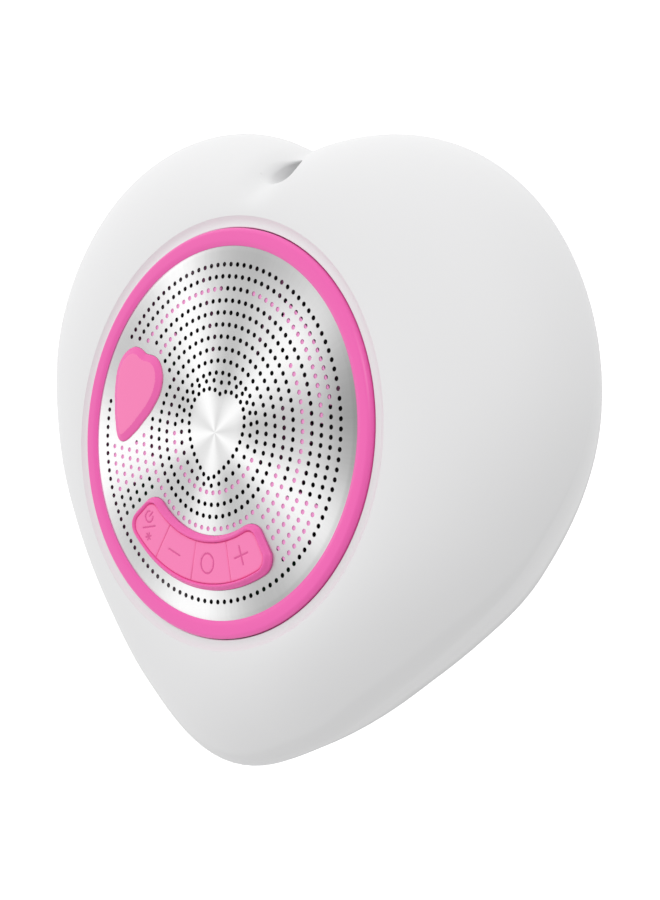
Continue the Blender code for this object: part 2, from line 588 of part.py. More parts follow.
def build_electronics():
    """The cell with its foam pad, and the main board with the charging socket."""
    low_y = 12.0
    add_piece("battery", block((0, low_y + 5.0, -31.5), (34.0, 10.0, 14.0), 1.0),
              material("battery_wrap", AMBER, 0.5))
    add_piece("battery_pad", block((0, low_y + 11.6, -31.5), (30.0, 2.4, 12.0)),
              material("foam", BLACK, 0.95))
    board = rounded_box_outline((0, -15.0), (38.0, 42.0), 1.5, 2)
    add_piece("main_board", prism(board, *MAIN_BOARD_Y), material("circuit_board", BOARD_GREEN, 0.4))
    mouth = (COVER_Y[0] - GAP - MAIN_BOARD_Y[1] - GAP)
    case = block((0, MAIN_BOARD_Y[1] + GAP + mouth / 2, PORT_CENTRE_Z), (7.6, mouth, 3.0), 0.2)
    socket = add_piece("charging_socket", case, material("switch_metal", SILVER, 0.3, 1.0))
    inside = block((0, COVER_Y[0] - 1.5, PORT_CENTRE_Z), (6.8, 4.0, 2.2))
    combine(socket, add_cutter("socket_mouth", inside), "DIFFERENCE")
    chip = block((0, MAIN_BOARD_Y[0] - 0.2 - 0.5, -8.0), (9.0, 1.0, 9.0), 0.15)
    add_piece("radio_chip", chip, material("black_plastic", BLACK, 0.5))


def screw_profile(head_y, shank_radius, head_radius, head_height, length):
    """A pan-head screw pointing forward: its head's underside is at head_y."""
    thread = shank_radius - 0.3
    return [(0, head_y - length), (thread * 0.5, head_y - length), (thread, head_y - length + 0.8),
            (thread, head_y), (head_radius, head_y), (head_radius, head_y + head_height * 0.6),
            (head_radius * 0.6, head_y + head_height), (0, head_y + head_height)]


def main():
    clear_scene()
    holder = bpy.data.objects.new("speaker", None)
    holder.location = (0.0, -FACE_TO_WALL * MM, 0.0)
    bpy.context.scene.collection.objects.link(holder)
    build_shell()
    build_front()
    build_keys()
    build_key_board()
    build_driver()
    build_electronics()
    build_back()


main()
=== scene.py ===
import math

import bmesh
import bpy
from mathutils import Matrix, Vector
from mathutils.bvhtree import BVHTree
from mathutils.geometry import delaunay_2d_cdt


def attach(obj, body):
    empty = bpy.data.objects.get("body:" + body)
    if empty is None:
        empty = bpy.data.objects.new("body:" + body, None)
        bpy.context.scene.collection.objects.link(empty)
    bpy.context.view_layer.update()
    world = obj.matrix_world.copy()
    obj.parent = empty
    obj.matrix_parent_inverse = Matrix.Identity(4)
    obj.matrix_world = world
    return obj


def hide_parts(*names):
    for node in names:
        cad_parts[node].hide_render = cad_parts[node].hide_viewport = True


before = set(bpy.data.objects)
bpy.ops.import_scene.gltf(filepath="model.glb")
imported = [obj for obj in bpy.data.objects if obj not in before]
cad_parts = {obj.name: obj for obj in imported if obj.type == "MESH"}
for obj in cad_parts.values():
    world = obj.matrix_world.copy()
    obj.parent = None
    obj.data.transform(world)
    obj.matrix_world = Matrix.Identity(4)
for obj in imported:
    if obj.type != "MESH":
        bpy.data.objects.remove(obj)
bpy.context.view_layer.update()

mm = 0.001
faceToWall = 52.0  # the grille's face stands this far in front of the wall, mm


# everything below is drawn in mm about the centre of the grille's face
def toFrame(x, y, z):
    return Vector((x * mm, (y - faceToWall) * mm, z * mm))


def addPiece(name, bm, looks, body, stands=(), sharp=35):
    bmesh.ops.recalc_face_normals(bm, faces=bm.faces)
    for vert in bm.verts:
        vert.co = toFrame(*vert.co)
    mesh = bpy.data.meshes.new(name)
    bm.to_mesh(mesh)
    bm.free()
    mesh.shade_smooth()
    if sharp:
        mesh.set_sharp_from_angle(angle=math.radians(sharp))
    for look in looks if isinstance(looks, list) else [looks]:
        mesh.materials.append(look)
    piece = bpy.data.objects.new(name, mesh)
    bpy.context.scene.collection.objects.link(piece)
    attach(piece, body)
    if stands:
        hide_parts(*stands)
    return piece


def skinLoops(bm, loops, closed=False, caps=False):
    rows = [[bm.verts.new(p) for p in loop] for loop in loops]
    pairs = list(zip(rows, rows[1:]))
    if closed:
        pairs.append((rows[-1], rows[0]))
    for near, far in pairs:
        for i in range(len(near)):
            j = (i + 1) % len(near)
            bm.faces.new((near[i], near[j], far[j], far[i]))
    if caps:
        bm.faces.new(rows[0])
        bm.faces.new(rows[-1])
    return bm


def turned(profile, segments):
    # profile is a closed loop of (radius, y); radius 0 is a point on the axis
    bm = bmesh.new()
    rings = []
    for radius, y in profile:
        if radius == 0:
            rings.append([bm.verts.new((0.0, y, 0.0))])
            continue
        turns = [math.tau * i / segments for i in range(segments)]
        rings.append([bm.verts.new((radius * math.cos(t), y, radius * math.sin(t))) for t in turns])
    for near, far in zip(rings, rings[1:] + rings[:1]):
        if len(near) == 1 and len(far) == 1:
            continue
        for i in range(segments):
            j = (i + 1) % segments
            corners = [near[i % len(near)], near[j % len(near)], far[j % len(far)], far[i % len(far)]]
            bm.faces.new(list(dict.fromkeys(corners)))
    return bm


def rounded(points, radii, steps):
    # rounds the corners of a closed (radius, y) profile, each by its own radius
    result = []
    for i, (point, r) in enumerate(zip(points, radii)):
        here, before, after = Vector(point), Vector(points[i - 1]), Vector(points[(i + 1) % len(points)])
        if r <= 0:
            result.append(tuple(here))
            continue
        a, b = (before - here), (after - here)
        cut = min(r, a.length * 0.49, b.length * 0.49)
        a, b = here + a.normalized() * cut, here + b.normalized() * cut
        for k in range(steps + 1):
            t = k / steps
            result.append(tuple(a * (1 - t) ** 2 + here * 2 * t * (1 - t) + b * t * t))
    return result


def circlePoints(radius, steps, centre=(0.0, 0.0), start=0.0):
    turns = [start + math.tau * i / steps for i in range(steps)]
    return [(centre[0] + radius * math.cos(t), centre[1] + radius * math.sin(t)) for t in turns]


def insideOutline(point, outline):
    x, z = point
    hit = False
    for i, (ax, az) in enumerate(outline):
        bx, bz = outline[i - 1]
        if (az > z) != (bz > z) and x < (bx - ax) * (z - az) / (bz - az) + ax:
            hit = not hit
    return hit


def distanceToPath(point, path, closed=True):
    p = Vector(point)
    best = 1e9
    last = len(path) if closed else len(path) - 1
    for i in range(last):
        a, b = Vector(path[i]), Vector(path[(i + 1) % len(path)])
        run = b - a
        t = max(0.0, min(1.0, (p - a).dot(run) / max(run.length_squared, 1e-12)))
        best = min(best, (p - a - run * t).length)
    return best


# ------------------------------ shader node groups
def newGroup(name, inputs, outputs):
    group = bpy.data.node_groups.new(name, "ShaderNodeTree")
    for label, kind, value in inputs:
        socket = group.interface.new_socket(name=label, in_out="INPUT", socket_type=kind)
        socket.default_value = value
    for label, kind in outputs:
        group.interface.new_socket(name=label, in_out="OUTPUT", socket_type=kind)
    start = group.nodes.new("NodeGroupInput")
    end = group.nodes.new("NodeGroupOutput")
    return group, start, end


def mathNode(tree, operation, a, b=None, clamp=False):
    node = tree.nodes.new("ShaderNodeMath")
    node.operation = operation
    node.use_clamp = clamp
    for socket, value in zip(node.inputs, (a, b)):
        if value is None:
            continue
        if isinstance(value, (int, float)):
            socket.default_value = value
        else:
            tree.links.new(value, socket)
    return node.outputs[0]


def noiseNode(tree, vector, scale, detail=3.0, rough=0.55):
    node = tree.nodes.new("ShaderNodeTexNoise")
    node.inputs["Detail"].default_value = detail
    node.inputs["Roughness"].default_value = rough
    if isinstance(scale, (int, float)):
        node.inputs["Scale"].default_value = scale
    else:
        tree.links.new(scale, node.inputs["Scale"])
    tree.links.new(vector, node.inputs["Vector"])
    return node.outputs["Fac"]


def scaledColour(tree, colour, amount):
    # colour times amount, on every channel
    node = tree.nodes.new("ShaderNodeVectorMath")
    node.operation = "SCALE"
    tree.links.new(colour, node.inputs[0])
    tree.links.new(amount, node.inputs["Scale"])
    return node.outputs[0]


def buildMouldedGrain():
    # moulded plastic, rubber and paint: faint mottling, fine grain and patches of wear in the gloss
    group, start, end = newGroup("mouldedGrain", [
        ("Colour", "NodeSocketColor", (0.8, 0.8, 0.8, 1.0)),
        ("Grain Scale", "NodeSocketFloat", 900.0),
        ("Mottle", "NodeSocketFloat", 0.03),
        ("Roughness", "NodeSocketFloat", 0.4),
        ("Roughness Spread", "NodeSocketFloat", 0.05),
    ], [("Colour", "NodeSocketColor"), ("Roughness", "NodeSocketFloat"), ("Height", "NodeSocketFloat")])
    place = group.nodes.new("ShaderNodeTexCoord").outputs["Object"]
    broad = noiseNode(group, place, 45.0, 2.0)
    fine = noiseNode(group, place, start.outputs["Grain Scale"], 3.0)
    swing = mathNode(group, "SUBTRACT", broad, 0.5)
    shade = mathNode(group, "ADD", mathNode(group, "MULTIPLY", swing, start.outputs["Mottle"]), 1.0)
    group.links.new(scaledColour(group, start.outputs["Colour"], shade), end.inputs["Colour"])
    offset = mathNode(group, "SUBTRACT", fine, 0.5)
    patch = mathNode(group, "MULTIPLY", offset, start.outputs["Roughness Spread"])
    rough = mathNode(group, "ADD", patch, start.outputs["Roughness"], clamp=True)
    group.links.new(rough, end.inputs["Roughness"])
    group.links.new(fine, end.inputs["Height"])
    return group


def buildTurnedMetal():
    # metal turned or drawn on a lathe: fine rings about the disc's axis
    group, start, end = newGroup("turnedMetal", [
        ("Ring Scale", "NodeSocketFloat", 2600.0),
        ("Roughness", "NodeSocketFloat", 0.3),
        ("Roughness Spread", "NodeSocketFloat", 0.12),
    ], [("Radius", "NodeSocketFloat"), ("Roughness", "NodeSocketFloat"), ("Height", "NodeSocketFloat")])
    place = group.nodes.new("ShaderNodeTexCoord").outputs["Object"]
    split = group.nodes.new("ShaderNodeSeparateXYZ")
    group.links.new(place, split.inputs[0])
    squareX = mathNode(group, "MULTIPLY", split.outputs["X"], split.outputs["X"])
    squareZ = mathNode(group, "MULTIPLY", split.outputs["Z"], split.outputs["Z"])
    radius = mathNode(group, "SQRT", mathNode(group, "ADD", squareX, squareZ))
    joined = group.nodes.new("ShaderNodeCombineXYZ")
    group.links.new(radius, joined.inputs["X"])
    rings = noiseNode(group, joined.outputs[0], start.outputs["Ring Scale"], 2.0)
    offset = mathNode(group, "SUBTRACT", rings, 0.5)
    spread = mathNode(group, "MULTIPLY", offset, start.outputs["Roughness Spread"])
    rough = mathNode(group, "ADD", spread, start.outputs["Roughness"], clamp=True)
    group.links.new(radius, end.inputs["Radius"])
    group.links.new(rough, end.inputs["Roughness"])
    group.links.new(rings, end.inputs["Height"])
    return group


def greyRamp(tree, factor, stops):
    ramp = tree.nodes.new("ShaderNodeValToRGB")
    ramp.color_ramp.interpolation = "CARDINAL"
    spots = ramp.color_ramp.elements
    for number, (position, _) in enumerate(stops):
        if number < 2:
            spots[number].position = position
        else:
            spots.new(position)
    for spot, (_, grey) in zip(spots, stops):
        spot.color = (grey, grey, grey, 1.0)
    tree.links.new(factor, ramp.inputs["Fac"])
    return ramp.outputs["Color"]


def buildStarSheen(settings):
    # the wedges of light and shade that a spun disc shows round its centre
    group, start, end = newGroup("starSheen", [
        ("Streaks", "NodeSocketFloat", 0.06),
        ("Rim Start", "NodeSocketFloat", 0.022),
        ("Rim End", "NodeSocketFloat", 0.030),
    ], [("Shade", "NodeSocketColor")])
    place = group.nodes.new("ShaderNodeTexCoord").outputs["Object"]
    split = group.nodes.new("ShaderNodeSeparateXYZ")
    group.links.new(place, split.inputs[0])
    turn = mathNode(group, "ARCTAN2", split.outputs["Z"], split.outputs["X"])
    share = mathNode(group, "FRACT", mathNode(group, "ADD", mathNode(group, "DIVIDE", turn, math.tau), 1.0))
    wedges = greyRamp(group, share, [(degrees / 360.0, grey) for degrees, grey in settings["wedges"]])
    rim = greyRamp(group, share, [(degrees / 360.0, grey) for degrees, grey in settings["rimWedges"]])
    squareX = mathNode(group, "MULTIPLY", split.outputs["X"], split.outputs["X"])
    squareZ = mathNode(group, "MULTIPLY", split.outputs["Z"], split.outputs["Z"])
    radius = mathNode(group, "SQRT", mathNode(group, "ADD", squareX, squareZ))
    towardsRim = group.nodes.new("ShaderNodeMapRange")
    towardsRim.interpolation_type = "SMOOTHSTEP"
    group.links.new(radius, towardsRim.inputs["Value"])
    group.links.new(start.outputs["Rim Start"], towardsRim.inputs["From Min"])
    group.links.new(start.outputs["Rim End"], towardsRim.inputs["From Max"])
    blended = group.nodes.new("ShaderNodeMix")
    blended.data_type = "RGBA"
    group.links.new(towardsRim.outputs["Result"], blended.inputs["Factor"])
    group.links.new(wedges, blended.inputs[6])
    group.links.new(rim, blended.inputs[7])
    heart = group.nodes.new("ShaderNodeMapRange")   # painted highlight: the middle is painted brighter
    heart.interpolation_type = "SMOOTHSTEP"
    group.links.new(radius, heart.inputs["Value"])
    heart.inputs["From Min"].default_value = 0.0045
    heart.inputs["From Max"].default_value = 0.0095
    heart.inputs["To Min"].default_value = settings["middleGamma"]
    heart.inputs["To Max"].default_value = 1.0
    paintedHighlight = group.nodes.new("ShaderNodeGamma")
    group.links.new(blended.outputs[2], paintedHighlight.inputs["Color"])
    group.links.new(heart.outputs["Result"], paintedHighlight.inputs["Gamma"])
    joined = group.nodes.new("ShaderNodeCombineXYZ")
    group.links.new(mathNode(group, "COSINE", turn), joined.inputs["X"])
    group.links.new(mathNode(group, "SINE", turn), joined.inputs["Y"])
    fine = noiseNode(group, joined.outputs[0], 38.0, 4.0, 0.7)
    streak = mathNode(group, "MULTIPLY", mathNode(group, "SUBTRACT", fine, 0.5), start.outputs["Streaks"])
    shade = mathNode(group, "ADD", streak, 1.0)
    group.links.new(scaledColour(group, paintedHighlight.outputs["Color"], shade), end.inputs["Shade"])
    return group


def buildWovenCloth():
    group, start, end = newGroup("wovenCloth", [
        ("Colour", "NodeSocketColor", (0.05, 0.05, 0.05, 1.0)),
        ("Threads", "NodeSocketFloat", 2200.0),
    ], [("Colour", "NodeSocketColor"), ("Height", "NodeSocketFloat")])
    place = group.nodes.new("ShaderNodeTexCoord").outputs["Object"]
    weave = group.nodes.new("ShaderNodeTexVoronoi")
    group.links.new(place, weave.inputs["Vector"])
    group.links.new(start.outputs["Threads"], weave.inputs["Scale"])
    height = weave.outputs["Distance"]
    group.links.new(scaledColour(group, start.outputs["Colour"], mathNode(group, "ADD", height, 0.6)),
                    end.inputs["Colour"])
    group.links.new(height, end.inputs["Height"])
    return group


# ------------------------------ materials
starSettings = {  # degrees round the disc and the painted reflection's brightness there
    "wedges": [(0, 0.68), (13, 0.56), (25, 0.65), (36, 0.83), (48, 0.96), (60, 0.82), (72, 0.65), (88, 0.54),
               (103, 0.74), (117, 0.98), (132, 0.86), (144, 0.68), (158, 0.59), (174, 0.73), (187, 0.93),
               (200, 0.96), (211, 0.82), (223, 0.63), (238, 0.58), (253, 0.67), (264, 0.85), (272, 0.91),
               (282, 0.82), (294, 0.60), (308, 0.57), (321, 0.66), (332, 0.89), (340, 0.96), (348, 0.89),
               (360, 0.68)],
    "rimWedges": [(0, 0.48), (14, 0.36), (30, 0.47), (48, 0.71), (66, 0.56), (86, 0.46), (103, 0.63),
                  (119, 0.94), (135, 0.72), (156, 0.55), (174, 0.71), (187, 0.94), (203, 0.97), (216, 0.77),
                  (234, 0.62), (252, 0.78), (265, 0.99), (279, 0.96), (294, 0.65), (310, 0.52), (328, 0.75),
                  (338, 0.88), (350, 0.70), (360, 0.48)],
    "middleGamma": 0.45,
    "roughness": 0.30,
}

groups = {
    "mouldedGrain": buildMouldedGrain(),
    "turnedMetal": buildTurnedMetal(),
    "starSheen": buildStarSheen(starSettings),
    "wovenCloth": buildWovenCloth(),
}


def startMaterial(name):
    made = bpy.data.materials.new(name)
    made.use_nodes = True
    tree = made.node_tree
    return made, tree, tree.nodes["Principled BSDF"]


def useGroup(tree, name, **values):
    node = tree.nodes.new("ShaderNodeGroup")
    node.node_tree = groups[name]
    for label, value in values.items():
        node.inputs[label.replace("_", " ")].default_value = value
    return node


def addBump(tree, shader, height, strength, distance):
    bump = tree.nodes.new("ShaderNodeBump")
    bump.inputs["Strength"].default_value = strength
    bump.inputs["Distance"].default_value = distance
    tree.links.new(height, bump.inputs["Height"])
    tree.links.new(bump.outputs["Normal"], shader.inputs["Normal"])


def moulded(name, colour, roughness, grainScale=900.0, mottle=0.03, spread=0.06, bump=0.05, **sockets):
    made, tree, shader = startMaterial(name)
    grain = useGroup(tree, "mouldedGrain", Colour=(*colour, 1.0), Grain_Scale=grainScale, Mottle=mottle,
                     Roughness=roughness, Roughness_Spread=spread)
    tree.links.new(grain.outputs["Colour"], shader.inputs["Base Color"])
    tree.links.new(grain.outputs["Roughness"], shader.inputs["Roughness"])
    addBump(tree, shader, grain.outputs["Height"], bump, 0.0001)
    for label, value in sockets.items():
        shader.inputs[label.replace("_", " ")].default_value = value
    return made


def turnedFinish(name, colour, roughness, ringScale=2600.0):
    made, tree, shader = startMaterial(name)
    rings = useGroup(tree, "turnedMetal", Ring_Scale=ringScale, Roughness=roughness)
    grain = useGroup(tree, "mouldedGrain", Colour=(*colour, 1.0), Mottle=0.12)
    tree.links.new(grain.outputs["Colour"], shader.inputs["Base Color"])
    tree.links.new(rings.outputs["Roughness"], shader.inputs["Roughness"])
    shader.inputs["Metallic"].default_value = 1.0
    addBump(tree, shader, rings.outputs["Height"], 0.12, 0.00005)
    return made


def clothFinish(name, colour):
    made, tree, shader = startMaterial(name)
    weave = useGroup(tree, "wovenCloth", Colour=(*colour, 1.0))
    tree.links.new(weave.outputs["Colour"], shader.inputs["Base Color"])
    shader.inputs["Roughness"].default_value = 0.95
    addBump(tree, shader, weave.outputs["Height"], 0.5, 0.0001)
    return made


def spunAluminium(settings):
    made, tree, shader = startMaterial("spunAluminium")
    # painted reflection: the star of light and shade goes into the base colour
    star = useGroup(tree, "starSheen", Streaks=0.12)
    rings = useGroup(tree, "turnedMetal", Ring_Scale=4200.0, Roughness=settings["roughness"],
                     Roughness_Spread=0.16)
    tree.links.new(star.outputs["Shade"], shader.inputs["Base Color"])
    tree.links.new(rings.outputs["Roughness"], shader.inputs["Roughness"])
    shader.inputs["Metallic"].default_value = 1.0
    addBump(tree, shader, rings.outputs["Height"], 0.10, 0.00003)
    return made


def paintedEdgeShade(made, amount):
    # painted shade: the base colour darkens where the surface turns edge-on
    tree = made.node_tree
    shader = tree.nodes["Principled BSDF"]
    plain = shader.inputs["Base Color"].links[0].from_socket
    facing = tree.nodes.new("ShaderNodeLayerWeight").outputs["Facing"]
    shade = greyRamp(tree, facing, [(0.0, 1.0), (0.9, 1.0), (1.0, 1.0 - amount)])
    tree.links.new(scaledColour(tree, plain, shade), shader.inputs["Base Color"])
    return made


looks = {
    # painted shade: the white shell's colour darkens towards its silhouettes
    "whiteShell": paintedEdgeShade(moulded("whiteShell", (0.84, 0.84, 0.845), 0.55, 1500.0, 0.012, 0.05, 0.03), 0.3),
    "pinkRing": moulded("pinkRing", (0.93, 0.12, 0.47), 0.32, 1200.0, 0.03, 0.06, 0.03),
    "pinkCarrier": moulded("pinkCarrier", (0.98, 0.34, 0.70), 0.40, 1200.0, 0.04, 0.06, 0.04),
    "keySilicone": moulded("keySilicone", (1.0, 0.215, 0.50), 0.42, 1600.0, 0.03, 0.08, 0.05),
    "frameSilicone": moulded("frameSilicone", (0.93, 0.13, 0.46), 0.40, 1600.0, 0.03, 0.08, 0.05),
    # painted shade: a darker pink for the inside of the glyph grooves
    "glyphGrooveShade": moulded("glyphGrooveShade", (0.78, 0.10, 0.34), 0.50, 1600.0, 0.03, 0.08, 0.05),
    "spunAluminium": spunAluminium(starSettings),
    "switchMetal": turnedFinish("switchMetal", (0.72, 0.72, 0.74), 0.28),
    "circuitBoard": moulded("circuitBoard", (0.02, 0.15, 0.06), 0.35, 500.0, 0.25, 0.10, 0.10),
    "chipBlack": moulded("chipBlack", (0.02, 0.02, 0.022), 0.45, 1800.0, 0.10, 0.10, 0.10),
    "blackPlastic": moulded("blackPlastic", (0.018, 0.018, 0.02), 0.50, 1200.0, 0.10, 0.10, 0.12),
    "membraneCloth": clothFinish("membraneCloth", (0.02, 0.02, 0.02)),
    "foam": clothFinish("foam", (0.03, 0.03, 0.03)),
    "pressedSteel": turnedFinish("pressedSteel", (0.50, 0.50, 0.52), 0.42),
    "ferrite": moulded("ferrite", (0.07, 0.07, 0.08), 0.60, 2200.0, 0.25, 0.12, 0.25),
    "conePaper": clothFinish("conePaper", (0.06, 0.06, 0.065)),
    "blackRubber": moulded("blackRubber", (0.02, 0.02, 0.02), 0.70, 1500.0, 0.15, 0.10, 0.15),
    "spiderCloth": clothFinish("spiderCloth", (0.55, 0.33, 0.10)),
    "copperWire": turnedFinish("copperWire", (0.75, 0.38, 0.20), 0.30, 5200.0),
    "batteryWrap": moulded("batteryWrap", (0.60, 0.36, 0.10), 0.45, 700.0, 0.10, 0.10, 0.08),
    "greyRubber": moulded("greyRubber", (0.30, 0.30, 0.31), 0.62, 1500.0, 0.10, 0.10, 0.12),
    "screwSteel": turnedFinish("screwSteel", (0.66, 0.66, 0.68), 0.28, 3600.0),
    "clearVinyl": moulded("clearVinyl", (0.90, 0.92, 0.94), 0.12, 700.0, 0.02, 0.05, 0.03,
                          Transmission_Weight=0.85, IOR=1.45),
}
print("materials: %d" % len(looks))

# the finish of every CAD node that stays in view
nodeLooks = {
    "whiteShell": ["heart_shell", "back_cover", "cup_stud"],
    "pinkRing": ["bezel_ring"],
    "pinkCarrier": ["grille_carrier"],
    "keySilicone": ["power_key", "minus_key", "play_key", "plus_key", "heart_key"],
    "frameSilicone": ["keypad_frame"],
    "spunAluminium": ["grille"],
    "switchMetal": ["power_key_switch", "minus_key_switch", "play_key_switch", "plus_key_switch",
                    "heart_key_switch", "microphone", "charging_socket"],
    "circuitBoard": ["key_board", "main_board"],
    "chipBlack": ["radio_chip"],
    "blackPlastic": ["speaker_baffle"],
    "membraneCloth": ["splash_membrane"],
    "foam": ["driver_gasket", "battery_pad"],
    "pressedSteel": ["driver_basket", "top_plate", "yoke"],
    "ferrite": ["magnet"],
    "conePaper": ["driver_cone", "dust_cap"],
    "blackRubber": ["cone_surround"],
    "spiderCloth": ["spider"],
    "copperWire": ["voice_coil"],
    "batteryWrap": ["battery"],
    "greyRubber": ["cover_gasket", "port_plug"],
    "screwSteel": ["cover_screw_%d" % n for n in range(1, 6)] + ["baffle_screw_%d" % n for n in range(1, 5)],
    "clearVinyl": ["suction_cup"],
}
for lookName, nodeNames in nodeLooks.items():
    for nodeName in nodeNames:
        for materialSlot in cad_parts[nodeName].material_slots:
            materialSlot.material = looks[lookName]

# ------------------------------ the heart shell
shell = {
    "radii": (49.0, 45.0, 42.5, 45.5, 54.5, 65.5, 69.5, 66.5, 58.0),  # tip to cleft, every 22.5 degrees
    "centreZ": -9.5,
    "faceY": 0.4,
    "widestY": 16.4,
    "backY": 42.0,
    "backScale": 0.74,
    "backCentreZ": -38.0,
    "faceRounding": 1.84,
    "backRounding": 1.4,
    "cleftSoftness": 1.3,   # degrees over which the cleft's crease is rounded
    "collarInner": 34.2,
    "collarOuter": 36.1,
    "coveProfile": [  # distance out from collarInner, and y
        (0.0, 1.1), (0.04, 0.8), (0.14, 0.74), (0.4, 0.86), (0.7, 0.95), (1.0, 0.95), (1.3, 0.86),
        (1.55, 0.72), (1.75, 0.56), (1.9, 0.45),
    ],
    "cleftDip": 2.2,          # how much deeper the crease lies than the lobes' own meeting line
    "cleftDipWidth": 3.2,
    "cleftDipZ": (37.0, 45.0),  # the dip grows between these heights
    "cleftDipY": (18.0, 34.0),  # and fades between these depths
    "seatY": 2.4,
    "windowRadius": 29.0,
    "wall": 2.4,
    "frontWallY": 4.8,
    "coverMargin": 3.2,
    "coverChamfer": 0.15,
    "ledgeY": 37.8,
    "ledgeWidth": 2.4,
    "ledgeThickness": 1.6,
    "edgeDepth": 1.6,         # rounding of the back edge
    "edgeInset": 1.0,
    "edgeSteps": 5,
    "halfSteps": 120,
    "faceSteps": 34,
    "backSteps": 26,
}


def smoothRadius(radii, turn):
    count = len(radii) - 1
    place = (turn + 90.0) / 180.0 * count
    k = min(int(place), count - 1)
    u = place - k
    slopes = [0.0]
    slopes += [(radii[i + 1] - radii[i - 1]) / 2 for i in range(1, count)]
    slopes += [(3 * radii[-1] - 4 * radii[-2] + radii[-3]) / 2]
    return ((2 * u**3 - 3 * u**2 + 1) * radii[k] + (u**3 - 2 * u**2 + u) * slopes[k]
            + (3 * u**2 - 2 * u**3) * radii[k + 1] + (u**3 - u**2) * slopes[k + 1])


def heartLoop(radii, halfSteps, grow=0.0, softness=0.0, crowd=1.0):
    # from the tip round by the right lobe; crowd above 1 packs the points towards the cleft
    right = []
    for i in range(halfSteps + 1):
        share = 1.0 - (1.0 - i / halfSteps) ** crowd
        turn = -90.0 + 180.0 * share
        eased = 90.0 - math.hypot(90.0 - turn, softness) if softness else turn
        radius = smoothRadius(radii, max(eased, -90.0)) + grow
        angle = math.radians(turn)
        right.append((radius * math.cos(angle), radius * math.sin(angle)))
    return right + [(-x, z) for x, z in right[-2:0:-1]]


def widestOutline(shrink=0.0):
    flat = heartLoop(shell["radii"], shell["halfSteps"], -shrink, shell["cleftSoftness"], 1.35)
    return [(x, shell["centreZ"] + z) for x, z in flat]


def dipped(x, y, z):
    # a point of the skin, moved back where it lies in the cleft
    (lowZ, highZ), (frontY, endY) = shell["cleftDipZ"], shell["cleftDipY"]
    along = min(max((z - lowZ) / (highZ - lowZ), 0.0), 1.0)
    behind = min(max((endY - y) / (endY - frontY), 0.0), 1.0)
    share = along * along * (3 - 2 * along) * behind * behind * (3 - 2 * behind)
    return (x, y + shell["cleftDip"] * math.exp(-(x / shell["cleftDipWidth"]) ** 2) * share, z)


def faceLoop(outline, startRadius, startY, share):
    angle = share * math.pi / 2
    out = math.sin(angle) ** (2 / shell["faceRounding"])
    back = 1 - math.cos(angle) ** (2 / shell["faceRounding"])
    loop = []
    for x, z in outline:
        turn = math.atan2(z, x)
        cx, cz = startRadius * math.cos(turn), startRadius * math.sin(turn)
        y = startY + (shell["widestY"] - startY) * back
        loop.append(dipped(cx + (x - cx) * out, y, cz + (z - cz) * out))
    return loop


def backLoop(outline, y):
    run = (y - shell["widestY"]) / (shell["backY"] - shell["widestY"])
    scale = 1 - (1 - shell["backScale"]) * run ** shell["backRounding"]
    centre = shell["backCentreZ"]
    return [dipped(x * scale, y, centre + (z - centre) * scale) for x, z in outline]


def circleLoop(outline, radius, y):
    turns = [math.atan2(z, x) for x, z in outline]
    return [(radius * math.cos(t), y, radius * math.sin(t)) for t in turns]


def insetLoop(loop, margin, y):
    result = []
    for i, (x, _, z) in enumerate(loop):
        ahead, behind = loop[(i + 1) % len(loop)], loop[i - 1]
        edge = Vector((ahead[0] - behind[0], ahead[2] - behind[2])).normalized()
        result.append((x - edge.y * margin, y, z + edge.x * margin))
    return result


eye = {
    "centre": (2.6, 44.7),
    "half": (4.0, 2.7),
    "squareness": 2.6,
    "fillet": 1.3,            # only the left lip is rolled
    "aheadY": -5.0,           # where the cutter starts and ends
    "depth": 40.0,
    "liningInset": 1.2,       # how far inside the skin the lining's ends lie
    "liningWall": 1.0,
    "liningGap": 0.02,
}


def eyeOutline(grow=0.0, leftGrow=0.0, steps=48):
    points = []
    for i in range(steps):
        turn = math.tau * i / steps
        c, s = math.cos(turn), math.sin(turn)
        power = 2 / eye["squareness"]
        x = math.copysign(abs(c) ** power, c) * (eye["half"][0] + grow + (leftGrow if c < 0 else 0.0))
        z = math.copysign(abs(s) ** power, s) * (eye["half"][1] + grow + leftGrow * 0.15)
        points.append((eye["centre"][0] + x, eye["centre"][1] + z))
    return points


def skinDepth(tree, x, z, fromBack=False):
    # y of the shell's skin at a place seen from the front or from behind
    start = toFrame(x, 100.0 if fromBack else -20.0, z)
    hit = tree.ray_cast(start, Vector((0.0, -1.0 if fromBack else 1.0, 0.0)))[0]
    return hit.y / mm + faceToWall


def eyeCutter(tree):
    # a tunnel along Y whose left lip is rolled over into the cleft
    fillet = eye["fillet"]
    loops = [[(x, eye["depth"], z) for x, z in eyeOutline()]]
    for i in range(9):
        rise = fillet * i / 8
        grow = fillet - math.sqrt(fillet**2 - rise**2)
        loops.append([(x, skinDepth(tree, x, z) + fillet - rise, z) for x, z in eyeOutline(0.0, grow)])
    mouth = eyeOutline(0.0, fillet)
    loops.append([(x, eye["aheadY"], z) for x, z in mouth])
    return skinLoops(bmesh.new(), loops, caps=True)


